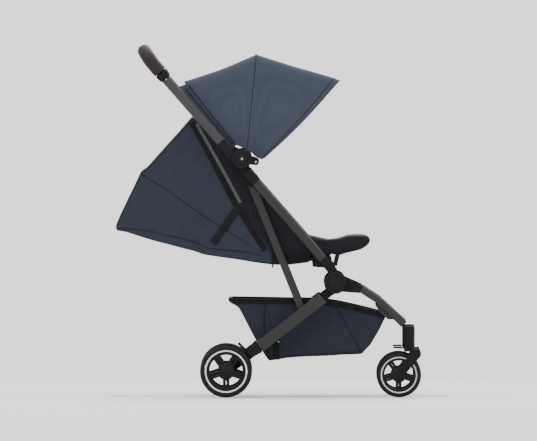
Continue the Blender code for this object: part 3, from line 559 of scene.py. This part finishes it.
def build_wheel(kind, tag, side):
    spec = WHEELS[kind]
    center, (y_in, y_out) = spec["center"], spec["y"]
    body = f"{kind}_wheel_{tag}"
    middle = (y_in + y_out) / 2
    holes = spoke_holes(center, spec["hub"], spec["window"], spec["tyre"] * 0.24, spec["tyre"] * 0.040)
    low, high = side_pair(y_in + 0.005, y_out - 0.005, side)
    spider = rounded(plate([circle(center, spec["rim"] - 0.002, 96)] + holes, low, high), 0.0011, 2)
    show(f"{kind}_spokes_{tag}", spider, "rim", body)
    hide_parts(f"{kind}_rim_{tag}")

    inner, outer = spec["ring"]
    for face, sign in (("outer", 1), ("inner", -1)):
        at = middle + sign * (y_out - y_in - 0.0080) / 2
        lip = [(inner, at - sign * 0.003), (inner + 0.0004, at), (inner + 0.0016, at + sign * 0.0011),
               (outer - 0.0016, at + sign * 0.0011), (outer - 0.0004, at), (outer, at - sign * 0.003)]
        show(f"{kind}_ring_{face}_{tag}", turned(center, lip, side, 96), "ring", body)
        trim = [(inner - 0.0072, at - sign * 0.003), (inner - 0.0062, at + sign * 0.0002),
                (inner - 0.0008, at + sign * 0.0004), (inner - 0.0002, at - sign * 0.003)]
        show(f"{kind}_rim_lip_{face}_{tag}", turned(center, trim, side, 96), "gloss_black", body)

    half = (y_out - y_in) / 2
    crown = spec["tyre"]
    profile = [(spec["rim"], middle - half * 0.80), (spec["rim"] + 0.004, middle - half * 0.97)]
    for i in range(19):
        angle = math.pi * (i / 18)
        groove = 0.0011 if i in (6, 12) else 0.0
        profile.append((crown - 0.0105 + (0.0105 - groove) * math.sin(angle) ** 0.8,
                        middle - half * math.cos(angle)))
    profile += [(spec["rim"] + 0.004, middle + half * 0.97), (spec["rim"], middle + half * 0.80)]
    tyre = turned(center, profile, side, 120)
    show(f"{kind}_tread_{tag}", tyre, "tyre", body)
    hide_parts(f"{kind}_tyre_{tag}")

    if kind == "rear":
        face = y_out - 0.0042
        cap = [(0.0, face + 0.0032), (0.009, face + 0.0032), (0.0105, face + 0.0022), (0.0170, face + 0.0020),
               (0.0215, face + 0.0006), (0.0235, face - 0.0020), (0.0238, face - 0.008), (0.0, face - 0.008)]
        show(f"rear_hub_cover_{tag}", turned(center, cap, side), "gloss_black", body)
    else:
        for sign in (-1, 1):
            face = middle + sign * (half - 0.0050)
            boss = [(0.0, face + sign * 0.0030), (0.0100, face + sign * 0.0030), (0.0185, face + sign * 0.0012),
                    (0.0212, face - sign * 0.0010), (0.0215, face - sign * 0.004), (0.0, face - sign * 0.004)]
            name = f"front_hub_cover_{'outer' if sign > 0 else 'inner'}_{tag}"
            show(name, turned(center, boss, side), "gloss_black", body)


# ---- hubs, fasteners and grip ----
def build_hub_faces(tag, side):
    """Stepped round covers with a recessed disc, and the screw at the upper hub."""
    for name, center, radius, disc, body in (("upper", UPPER_HUB, 0.0294, 0.0172, "handle"),
                                             ("lower", LOWER_HUB, 0.0330, 0.0208, "chassis")):
        face = HUB_FACE
        cover = [(disc + 0.0006, face - 0.004), (disc + 0.0006, face + 0.0022), (disc + 0.0020, face + 0.0030),
                 (radius - 0.0040, face + 0.0026), (radius - 0.0010, face + 0.0012), (radius + 0.0003, face - 0.0016),
                 (radius + 0.0003, face - 0.0060)]
        show(f"{name}_hub_cover_{tag}", turned(center, cover, side, 96), "black", body)
        inner = [(0.0, face + 0.0037), (disc - 0.0022, face + 0.0037), (disc - 0.0008, face + 0.0034),
                 (disc, face + 0.0026), (disc, face - 0.0010), (0.0, face - 0.0010)]
        show(f"{name}_hub_disc_{tag}", turned(center, inner, side, 96), "gloss_black", body)
    face = HUB_FACE + 0.0036
    head = [(0.0, face + 0.0002), (0.0014, face + 0.0002), (0.0018, face + 0.0012), (0.0038, face + 0.0010),
            (0.0043, face), (0.0043, face - 0.001), (0.0, face - 0.001)]
    show(f"hub_screw_{tag}", turned(UPPER_HUB, head, side, 36), "steel", "handle")
    tab = arm(-0.0341, 0.0398)
    head = [(0.0, 0.1886), (0.0014, 0.1886), (0.0022, 0.1892), (0.0036, 0.1888), (0.0040, 0.1878), (0.0, 0.1878)]
    show(f"canopy_screw_{tag}", turned(tab, head, side, 30), "steel", "chassis")
    face = 0.1877
    bolt = [(0.0, face + 0.0026), (0.0026, face + 0.0026), (0.0058, face + 0.0018), (0.0066, face), (0.0, face)]
    for name, place in (("axle", WHEELS["front"]["center"]), ("fork", (0.4419, 0.1330))):
        show(f"{name}_bolt_{tag}", turned(place, bolt, side, 36), "gloss_black", "caster_" + tag)
    for name, at in (("upper", 0.3290), ("lower", -0.3960)):
        spot = arm(at)
        rivet = [(0.0, 0.2046), (0.0022, 0.2046), (0.0030, 0.2040), (0.0, 0.2040)]
        show(f"{name}_arm_rivet_{tag}", turned(spot, rivet, side, 24), "steel",
             "handle" if name == "upper" else "chassis")


def build_grip():
    """The wrapped push bar: a fat round tube and its lengthwise seam."""
    half, radius, corner = 0.1960, 0.0195, 0.0320
    start, top = 0.3560, 0.4350
    straight = start + 0.0240
    path = []
    for side in (-1, 1):
        run = [(start + (straight - start) * i / 3, side * half) for i in range(3)]
        run += [(straight + (top - corner - straight) * i / 4, side * half) for i in range(5)]
        for i in range(1, 13):
            angle = math.pi / 2 * i / 12
            run.append((top - corner + corner * math.sin(angle), side * (half - corner + corner * math.cos(angle))))
        path += run if side < 0 else run[::-1]
    line = []
    for along, y in path:
        lean = 0.0060 * max(0.0, (along - straight) / (top - straight)) ** 2
        x, z = arm(along, lean)
        line.append((x, y, z))
    grip = cord_along(line, radius, 10)
    show("handle_wrap", rippled(grip, 0.0004, 60.0), "grip_brown", "handle")
    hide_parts("handle_grip")
    seam = []
    for (x, y, z), (along, _) in zip(line, path):
        inward = 0.0 if abs(y) > half - 0.001 else 1.0
        under = radius + 0.0001
        seam.append((x - under * AHEAD[0] * 0.72 - under * 0.69 * UP[0] * inward,
                     y - math.copysign(under * 0.69 * (1 - inward), y),
                     z - under * AHEAD[1] * 0.72 - under * 0.69 * UP[1] * inward))
    show("handle_seam", cord_along(seam, 0.0007), "stitch", "handle")


# ---- canopy ----
PEAK, FRONT_TIP, REAR_CORNER = 82.1, 38.6, 127.1   # bow angles round the upper hub, in degrees
ROOF = {"front": [(0.2108, 0.9463), (0.1848, 0.9570), (0.0700, 0.9900), (-0.0374, 1.0241)],
        "rear": [(-0.0374, 1.0241), (-0.1450, 0.9790), (-0.2536, 0.9430)]}
FOOT = {"front": [(-0.0203, 0.7113), (-0.0380, 0.7190), (-0.0500, 0.7300), (-0.0652, 0.7400)],
        "rear": [(-0.0652, 0.7400), (-0.0860, 0.7500), (-0.1120, 0.7600)]}


def resampled(points, count):
    """Evenly spaced places along a smooth curve through the points."""
    path = smooth_path(points, 12)
    runs = [math.dist(a, b) for a, b in zip(path, path[1:])]
    total, result = sum(runs), []
    for i in range(count):
        want, at = total * i / (count - 1), 0
        while at < len(runs) - 1 and want > runs[at]:
            want -= runs[at]
            at += 1
        share = min(1.0, want / runs[at])
        result.append(tuple(a + (b - a) * share for a, b in zip(path[at], path[at + 1])))
    return result


def canopy_point(foot, roof, share, corner=0.024, half=None):
    """A place on one rib: share runs from one foot (0) over the roof to the other foot (1)."""
    half = half or CANOPY - 0.0010
    wall = math.dist(foot, roof)
    bend = corner * math.pi / 2
    lengths = [wall - corner, bend, 2 * (half - corner), bend, wall - corner]
    run = share * sum(lengths)
    if run > sum(lengths) / 2:
        run, sign = sum(lengths) - run, 1
    else:
        sign = -1
    if run < lengths[0]:
        height, y = run, half
        slack = math.sin(math.pi * run / lengths[0])
    elif run < lengths[0] + bend:
        turn = (run - lengths[0]) / corner
        height, y, slack = lengths[0] + corner * math.sin(turn), half - corner * (1 - math.cos(turn)), 0.0
    else:
        height, y, slack = wall, half - corner - (run - lengths[0] - bend), 0.0
    reach = height / wall
    return (foot[0] + (roof[0] - foot[0]) * reach, sign * y, foot[1] + (roof[1] - foot[1]) * reach), slack, sign


def bulge(panel, across):
    """How far the front edge bows forward, strongest at the edge itself."""
    return 0.0065 * (1 - across) ** 4 if panel == "front" else 0.0


def canopy_grid(panel, ribs=48, around=150):
    feet, roofs = resampled(FOOT[panel], ribs + 1), resampled(ROOF[panel], ribs + 1)
    grid = []
    for i, (foot, roof) in enumerate(zip(feet, roofs)):
        across = i / ribs
        line = []
        for j in range(around + 1):
            (x, y, z), slack, sign = canopy_point(foot, roof, j / around)
            push = bulge(panel, across) * slack
            belly = 0.0022 * slack * math.sin(math.pi * across)
            fold = 0.0006 * noise.noise(Vector((x * 16, y * 9, z * 16))) * math.sin(math.pi * across)
            line.append((x + push * 0.71 + fold, y + sign * (belly + fold), z - push * 0.71 + fold))
        grid.append(line)
    return grid


def skinned(grid, thick):
    """A sheet through a grid of places, given its cloth thickness."""
    mesh = bpy.data.meshes.new("sheet")
    wide = len(grid[0])
    places = [place for line in grid for place in line]
    faces = [(i * wide + j, i * wide + j + 1, (i + 1) * wide + j + 1, (i + 1) * wide + j)
             for i in range(len(grid) - 1) for j in range(wide - 1)]
    mesh.from_pydata(places, [], faces)
    item = add(bpy.data.objects.new("sheet", mesh))
    solid = item.modifiers.new("thickness", "SOLIDIFY")
    solid.thickness, solid.offset = thick, 0.0
    return baked(item)


def folded(item, panel):
    """Let the cloth follow its two bows: each point by its angle round the hub."""
    low, high, bodies = ((FRONT_TIP, PEAK, ("canopy_front", "canopy_mid")) if panel == "front"
                         else (PEAK, REAR_CORNER, ("canopy_mid", "chassis")))
    if item.parent:
        item.parent = None
    if "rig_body" in item:
        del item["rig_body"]
    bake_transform(item, *bodies, (UPPER_HUB[0] + 1.0, 0.0, UPPER_HUB[1]), (UPPER_HUB[0] - 1.0, 0.0, UPPER_HUB[1]))
    weights = item.data.attributes["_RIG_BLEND"].data
    for vertex, weight in zip(item.data.vertices, weights):
        angle = math.degrees(math.atan2(vertex.co.z - UPPER_HUB[1], vertex.co.x - UPPER_HUB[0]))
        if angle < -90.0:
            angle += 360.0
        weight.value = min(1.0, max(0.0, (angle - low) / (high - low)))
    return item


def build_canopy():
    for panel in ("front", "rear"):
        grid = canopy_grid(panel)
        item = show(f"canopy_{panel}_cloth", skinned(grid, 0.0013), "navy", "canopy_mid")
        folded(item, panel)
        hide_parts(f"canopy_{panel}_panel")
        lines = {"hem": 3, "edge": 0} if panel == "front" else {"peak": 0, "back": 47}
        for name, rib in lines.items():
            seam = [(x, y * 1.0042 if abs(y) > 0.1 else y, z + (0.0006 if abs(y) < 0.149 else 0.0))
                    for x, y, z in grid[rib]]
            radius = 0.0021 if name == "edge" else 0.0010
            cord = show(f"canopy_{name}_seam", cord_along(seam[1:-1], radius, 3),
                        "navy" if name == "edge" else "piping", "canopy_mid")
            folded(cord, panel)
    for tag, side in SIDES.items():
        outline = [arm(0.0400, 0.0125), arm(0.2860, 0.0125), arm(0.2760, 0.0400), arm(0.1500, 0.0300),
                   arm(0.0420, 0.0290)]
        low, high = side_pair(CANOPY - 0.0020, CANOPY + 0.0012, side)
        strip = rounded(plate([outline], low, high), 0.0008, 2)
        show(f"canopy_rear_binding_{tag}", strip, "navy", "chassis")
        for i, (low_end, top_end, lift) in enumerate(((0.0210, 0.0255, 0.0020), (0.0250, 0.0330, 0.0012),
                                                      (0.0285, 0.0390, 0.0020))):
            pleat = smooth_path([arm(0.0480, low_end), arm(0.1500, (low_end + top_end) / 2 - 0.002),
                                 arm(0.2700, top_end)], 8)
            line = cord_along([(x, side * (CANOPY + lift), z) for x, z in pleat], 0.0016, 3)
            # The two outer pleat cords take the darker piping cloth as painted shade in the fold creases; the middle
            # cord keeps the canopy navy.
            show(f"canopy_pleat_{i}_{tag}", line, "navy" if i == 1 else "piping", "chassis")


# ---- seat shell ----
HOOD_OUTLINE = [(0.1232, 0.4043), (0.0574, 0.3953), (0.0096, 0.3968), (-0.0562, 0.4057), (-0.1160, 0.4147),
                (-0.1911, 0.4255), (-0.2245, 0.4362), (-0.3528, 0.4712), (-0.4291, 0.4943), (-0.4570, 0.4985),
                (-0.4590, 0.5125), (-0.3821, 0.6763), (-0.3651, 0.6865), (-0.2275, 0.8405),
                (-0.1360, 0.7340), (-0.0360, 0.6260), (0.0600, 0.5180), (0.1170, 0.4560)]
SHELL = 0.0030


def on_side(name, path, radius, look, slot, body, level, tag, side):
    """A seam or piping that lies on a cloth side wall."""
    places = [(x, side * level, z) for x, z in smooth_path(path, 6)]
    return show(f"{name}_{tag}", cord_along(places, radius, 3), look, body)


def patch(name, path, width, look, slot, body, levels, tag, side):
    """A strap or band sewn on a cloth side wall."""
    low, high = side_pair(*levels, side)
    strip = rounded(plate([ribbon(smooth_path(path, 6), width)], low, high), 0.0005, 2, 50.0)
    return show(f"{name}_{tag}", strip, look, body)


def cloth_shell(outline, hollow, half, voxel, slack, seed):
    """A soft sided box: rounded, rippled outside and cut hollow."""
    block = remeshed(plate([outline[::-1]], -half, half), voxel, 5)
    rippled(block, slack, 11.0, seed)
    rippled(block, slack * 0.35, 34.0, seed + 5.0)
    return carved(block, plate([hollow[::-1]], -half + SHELL + 0.0012, half - SHELL - 0.0012))


def sewn(make, *parts):
    """A trim that is sewn to the hood; it gets a mesh of its own."""
    return squashed(make(*parts))


def build_hood():
    back = [(-0.4515, 0.5120), (-0.3780, 0.6700), (-0.3600, 0.6820), (-0.2200, 0.8420)]
    floor = [(0.1400, 0.4100), (0.0574, 0.4000), (0.0096, 0.4015), (-0.0562, 0.4105), (-0.1160, 0.4195),
             (-0.1911, 0.4303), (-0.2245, 0.4410), (-0.3528, 0.4760), (-0.4291, 0.4990), (-0.4500, 0.5050)]
    hollow = floor + back + [(-0.1000, 0.8600), (0.0900, 0.6400), (0.1700, 0.4900)]
    shell = cloth_shell(HOOD_OUTLINE, hollow, CLOTH, 0.0050, 0.0016, 3.0)
    show("hood_shell", shell, "dark_navy", "chassis")
    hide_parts("seat_hood")
    squashed(shell)
    for tag, side in SIDES.items():
        wall = CLOTH + 0.0006
        common = ("chassis", wall, tag, side)
        wing = [(-0.2180, 0.8270), (-0.1370, 0.7330), (-0.0370, 0.6250), (0.0590, 0.5170), (0.1160, 0.4550),
                (0.1220, 0.4060), (0.0574, 0.3980), (0.0130, 0.3990), (0.0100, 0.4350), (-0.0400, 0.5080),
                (-0.0861, 0.5830), (-0.1500, 0.7080)]
        item = rounded(plate([wing], *side_pair(CLOTH - 0.003, CLOTH + 0.0012, side)), 0.0006, 2, 50.0)
        squashed(show(f"hood_wing_{tag}", item, "seat_cloth", "chassis"))
        sewn(on_side, "hood_floor_piping", [(-0.4560, 0.5040), (-0.3761, 0.4999), (-0.2308, 0.4667),
                                            (-0.1818, 0.4461),
                                      (-0.1160, 0.4401), (-0.0562, 0.4327), (-0.0203, 0.4237)],
                0.0015, "piping", "navy", *common)
        sewn(on_side, "hood_panel_seam", [(-0.3821, 0.6680), (-0.3041, 0.6192), (-0.2156, 0.5567), (-0.1513, 0.5140),
                                    (-0.0203, 0.4327)], 0.0011, "piping", "navy", *common)
        sewn(on_side, "hood_edge_piping", [(-0.0861, 0.5792), (-0.0400, 0.5060), (0.0100, 0.4300)],
                0.0013, "piping", "navy", *common)
        sewn(on_side, "hood_rear_piping", [(-0.4560, 0.5150), (-0.4170, 0.5990), (-0.3800, 0.6720), (-0.3651, 0.6830),
                                     (-0.2960, 0.7580), (-0.2320, 0.8310)], 0.0012, "piping", "navy", *common)
        band = [(-0.2310, 0.8230), (-0.1720, 0.7160), (-0.1100, 0.5971), (-0.0600, 0.5160), (-0.0114, 0.4386)]
        sewn(patch, "hood_band", band, 0.0180, "lining", "black", "chassis",
             (CLOTH - 0.003, CLOTH + 0.0017), tag, side)
        vent = [(-0.2160, 0.8180), (-0.1560, 0.7120), (-0.0940, 0.5990), (-0.0861, 0.5820)]
        sewn(patch, "hood_vent", vent, 0.0095, "mesh", "navy", "chassis", (CLOTH - 0.003, CLOTH + 0.0021), tag, side)
        strap = [(-0.0861, 0.5760), (-0.1250, 0.5200), (-0.1668, 0.4611)]
        sewn(patch, "recline_strap", strap, 0.0225, "webbing", "webbing", "chassis",
              (CLOTH - 0.003, CLOTH + 0.0028), tag, side)
        wedge = [(0.0300, 0.3985), (0.0574, 0.3978), (0.1180, 0.4065), (0.1150, 0.4500), (0.0740, 0.4360),
                 (0.0380, 0.4150)]
        item = rounded(plate([wedge], *side_pair(CLOTH - 0.003, CLOTH + 0.0018, side)), 0.0006, 2, 50.0)
        squashed(show(f"seat_skirt_{tag}", item, "lining", "chassis"))
        pull = rounded(plate([ribbon([(0.0110, 0.4300), (0.0114, 0.3880)], 0.0050)],
                             *side_pair(CLOTH + 0.0006, CLOTH + 0.0026, side)), 0.0006, 2)
        squashed(show(f"zip_pull_{tag}", pull, "webbing", "chassis"))


def squashed(item):
    """Give the item a mesh of its own."""
    anchor = arm(-0.20, 0.0)
    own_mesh(item)
    return item


# ---- seat pads ----
def pad(name, node, outline, half, body, look, cap, seed):
    """A stuffed pad with a soft crown and a little slack."""
    item = remeshed(plate([outline], -half, half), 0.0055, 6)
    item = puffed(item, cap)
    rippled(item, 0.0012, 17.0, seed)
    rippled(item, 0.0004, 60.0, seed)
    item = finer(item)
    show(name, item, look, body)
    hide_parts(node)
    return squashed(item)


def build_pads():
    low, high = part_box("seat_cushion")
    cushion = [(low.x + 0.002, low.z), (high.x - 0.001, low.z), (high.x - 0.001, 0.4670), (0.1550, 0.4735),
               (0.1178, high.z - 0.0015), (low.x + 0.012, high.z - 0.0015), (low.x + 0.002, 0.4740)]
    pad("seat_pad", "seat_cushion", cushion, HALF - 0.002, "chassis", "seat_cloth", 0.0025, 1.0)
    low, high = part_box("leg_rest")
    rest = [(low.x + 0.001, 0.4310), (0.2108, 0.4250), (0.2248, 0.4312), (0.2727, 0.4418), (0.2980, 0.4570),
            (0.3060, 0.4728), (0.2936, 0.4822), (0.2607, 0.4830), (0.2368, 0.4808), (0.2080, 0.4725),
            (low.x + 0.001, 0.4670)]
    pad("leg_pad", "leg_rest", rest, HALF - 0.002, "leg_rest", "seat_cloth", 0.0020, 2.0)
    build_knee()
    lower = [(0.0216, 0.4006), (-0.0562, 0.4095), (-0.1160, 0.4185), (-0.1911, 0.4293), (-0.2245, 0.4400),
             (-0.3528, 0.4750), (-0.4171, 0.4985)]
    build_backrest(lower)


def build_knee():
    """The soft fold of cloth between the seat and the leg rest; it bends at the hinge."""
    outline = [(0.1500, 0.4320), (0.1725, 0.4262), (0.1860, 0.4285), (0.2108, 0.4245), (0.2230, 0.4330),
               (0.2250, 0.4765), (0.2080, 0.4735), (0.1785, 0.4700), (0.1500, 0.4745)]
    item = remeshed(plate([outline], -HALF + 0.001, HALF - 0.001), 0.0050, 3)
    rippled(item, 0.0010, 22.0, 6.0)
    show("knee_fold", item, "seat_cloth", "leg_rest")
    item.parent = None
    del item["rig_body"]
    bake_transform(item, "chassis", "leg_rest", (0.1760, 0.0, 0.4500), (0.2100, 0.0, 0.4500))


def build_backrest(lower):
    """The reclined seat back: a long padded slab and its stitched panels."""
    raised = [(x + 0.009, z + 0.0240) for x, z in lower[::-1]]
    raised[-1] = (-0.0080, 0.4680)
    front = [(0.0165, 0.4300)]
    pad("back_pad", "backrest", lower[::-1] + front + raised[::-1], HALF - 0.007, "backrest",
        "seat_cloth", 0.0025, 4.0)
    for i, y in enumerate((-0.075, 0.0, 0.075)):
        line = smooth_path([(x, y, z + 0.0006) for x, z in raised[:-1]], 6)
        squashed(show(f"back_quilt_{i}", cord_along(line, 0.0012), "piping", "backrest"))


def build_harness():
    """Shoulder pads for the harness."""
    for tag, side in SIDES.items():
        path = [(-0.0190, 0.4735), (-0.0462, 0.4428), (-0.0650, 0.4462)]
        cover = rounded(plate([ribbon([(x, z + 0.0042) for x, z in path[1:]], 0.0050)],
                              *side_pair(0.0330, 0.0670, side)), 0.0016, 3)
        show(f"shoulder_pad_{tag}", cover, "seat_cloth", "backrest")


# ---- basket ----
BASKET_OUTLINE = [(0.3489, 0.2518), (0.1860, 0.2885), (-0.1178, 0.2968), (-0.1174, 0.2835), (-0.0921, 0.2697),
                  (-0.0173, 0.1337), (0.0006, 0.1090), (0.0484, 0.1172), (0.2772, 0.1292), (0.3056, 0.1576),
                  (0.3265, 0.1935), (0.3485, 0.2368)]


def build_basket():
    inside = [(0.3420, 0.3300), (0.1860, 0.3400), (-0.1080, 0.3400), (-0.1090, 0.2860), (-0.0850, 0.2700),
              (-0.0118, 0.1380), (0.0040, 0.1150), (0.0484, 0.1230), (0.2740, 0.1350), (0.3000, 0.1600),
              (0.3205, 0.1950), (0.3420, 0.2368)]
    block = remeshed(plate([BASKET_OUTLINE], -CLOTH + 0.001, CLOTH - 0.001), 0.0050, 5)
    rippled(block, 0.0022, 14.0, 8.0)
    rippled(block, 0.0007, 42.0, 9.0)
    shell = carved(block, plate([inside], -CLOTH + 0.0062, CLOTH - 0.0062))
    show("basket_shell", shell, "basket_cloth", "chassis")
    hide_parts("basket")
    fold_basket(shell)
    rim = [(0.3470, 0.2475), (0.1860, 0.2840), (0.0400, 0.2895), (-0.1080, 0.2920)]
    loop = [(x, -CLOTH + 0.0020, z) for x, z in smooth_path(rim, 8)]
    loop += [(-0.1165, y, 0.2905) for y in (-CLOTH + 0.0060, -0.07, 0.0, 0.07, CLOTH - 0.0060)]
    loop += [(x, CLOTH - 0.0020, z) for x, z in smooth_path(rim, 8)[::-1]]
    loop += [(0.3478, y, 0.2470) for y in (CLOTH - 0.0060, 0.07, 0.0, -0.07, -CLOTH + 0.0060, -CLOTH + 0.0020)]
    fold_basket(show("basket_elastic_rim", cord_along(loop, 0.0055, 4), "lining", "chassis"))
    for tag, side in SIDES.items():
        low, high = side_pair(CLOTH - 0.002, CLOTH + 0.0016, side)
        binding = rounded(plate([ribbon(smooth_path([(0.3440, 0.2440), (0.1860, 0.2800), (0.0400, 0.2860),
                                                     (-0.1050, 0.2880)], 8), 0.0130)], low, high), 0.0006, 2)
        fold_basket(show(f"basket_binding_{tag}", binding, "lining", "chassis"))
        for name, path in {"rear": [(-0.0110, 0.2800), (-0.0150, 0.2200), (-0.0060, 0.1420), (0.0020, 0.1150)],
                           "front": [(0.2040, 0.2690), (0.2400, 0.2020), (0.2760, 0.1340)],
                           "base": [(0.0080, 0.1190), (0.1400, 0.1290), (0.2720, 0.1365)]}.items():
            seam = on_side(f"basket_{name}_seam", path, 0.0012, "piping", "navy", "chassis",
                           CLOTH + 0.0004, tag, side)
            fold_basket(seam)
        tab = rounded(plate([ribbon([(0.0225, 0.2050), (0.0225, 0.1120)], 0.0170)], low, high), 0.0006, 2)
        fold_basket(show(f"basket_tab_{tag}", tab, "webbing", "chassis"))
        dot = [(0.0, CLOTH + 0.0034), (0.0016, CLOTH + 0.0034), (0.0024, CLOTH + 0.0028),
               (0.0026, CLOTH), (0.0, CLOTH)]
        fold_basket(show(f"basket_snap_{tag}", turned((0.0285, 0.1660), dot, side, 32), "steel", "chassis"))
        for i, (x, z) in enumerate(((0.1980, 0.2790), (0.2400, 0.2700))):
            clip = rounded(plate([ribbon([(x - 0.013, z + 0.003), (x + 0.013, z - 0.003)], 0.0130)],
                                 *side_pair(CLOTH, CLOTH + 0.0050, side)), 0.0014, 3)
            fold_basket(show(f"basket_clip_{i}_{tag}", clip, "black", "chassis"))


def fold_basket(item):
    """Give a basket piece a mesh of its own."""
    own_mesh(item)
    return item


def build_seat_fittings():
    for tag, side in SIDES.items():
        low, high = side_pair(CLOTH - 0.012, CLOTH - 0.001, side)
        fitting = rounded(plate([[(0.1290, 0.4060), (0.1310, 0.3900), (0.1660, 0.3880), (0.1680, 0.4040)]],
                                low, high), 0.0020, 3)
        show(f"seat_fitting_{tag}", fitting, "black", "chassis")
        strap = rounded(plate([ribbon([(0.2070, 0.4290), (0.2020, 0.4080), (0.1990, 0.3930)], 0.0110)],
                              low, high), 0.0008, 2)
        show(f"leg_rest_strap_{tag}", strap, "webbing", "leg_rest")


# ---- set ----
def build_set():
    scene = bpy.context.scene
    camera = add(bpy.data.objects.new("camera", bpy.data.cameras.new("camera")))
    camera.location, camera.rotation_euler = (-0.001, -60.0, 1.260), (math.radians(89.3), 0.0, 0.0)
    camera.data.lens = 36.0 * 59.8 / 1.6056
    camera.data.clip_start, camera.data.clip_end = 1.0, 120.0
    scene.camera = camera

    world = bpy.data.worlds.new("studio")
    world.use_nodes = True
    world.node_tree.nodes["Background"].inputs["Color"].default_value = (1.0, 1.0, 1.0, 1.0)
    world.node_tree.nodes["Background"].inputs["Strength"].default_value = 1.7
    scene.world = world

    kit = Kit("floor_paper", 0.9)
    fibre = kit.noise(30.0, 3.0)
    kit.set("Base Color", kit.mix(fibre, (0.70, 0.70, 0.70, 1.0), (0.74, 0.74, 0.74, 1.0)))
    reach = kit.node("ShaderNodeTexGradient", {"gradient_type": "SPHERICAL"},
                     {"Vector": kit.stretched((0.33, 0.33, 0.33))})
    kit.set("Alpha", kit.node("ShaderNodeMath", {"operation": "MULTIPLY", "use_clamp": True}, {0: reach, 1: 2.4}))
    bpy.ops.mesh.primitive_circle_add(vertices=96, radius=3.0, fill_type="NGON", location=(0.0, 0.0, -0.0005))
    floor = bpy.context.object
    floor.name = "floor"
    floor.data.materials.append(kit.material)

    for name, place, size, power in (("key", (-1.8, -2.8, 3.0), 2.4, 75.0), ("fill", (2.6, -2.4, 1.8), 2.4, 26.0),
                                     ("top", (0.0, 0.3, 3.4), 2.8, 60.0), ("rear", (0.4, 2.6, 2.2), 1.8, 35.0)):
        light = bpy.data.lights.new(name, "AREA")
        light.size, light.energy = size, power
        lamp = add(bpy.data.objects.new(name, light))
        lamp.location = place
        lamp.rotation_euler = (Vector((0.0, 0.0, 0.5)) - Vector(place)).to_track_quat("-Z", "Y").to_euler()


finish_frame()
for tag, side in SIDES.items():
    build_wheel("rear", tag, side)
    build_wheel("front", tag, side)
    build_hub_faces(tag, side)
build_grip()
build_canopy()
build_hood()
build_pads()
build_harness()
build_basket()
build_seat_fittings()
build_set()
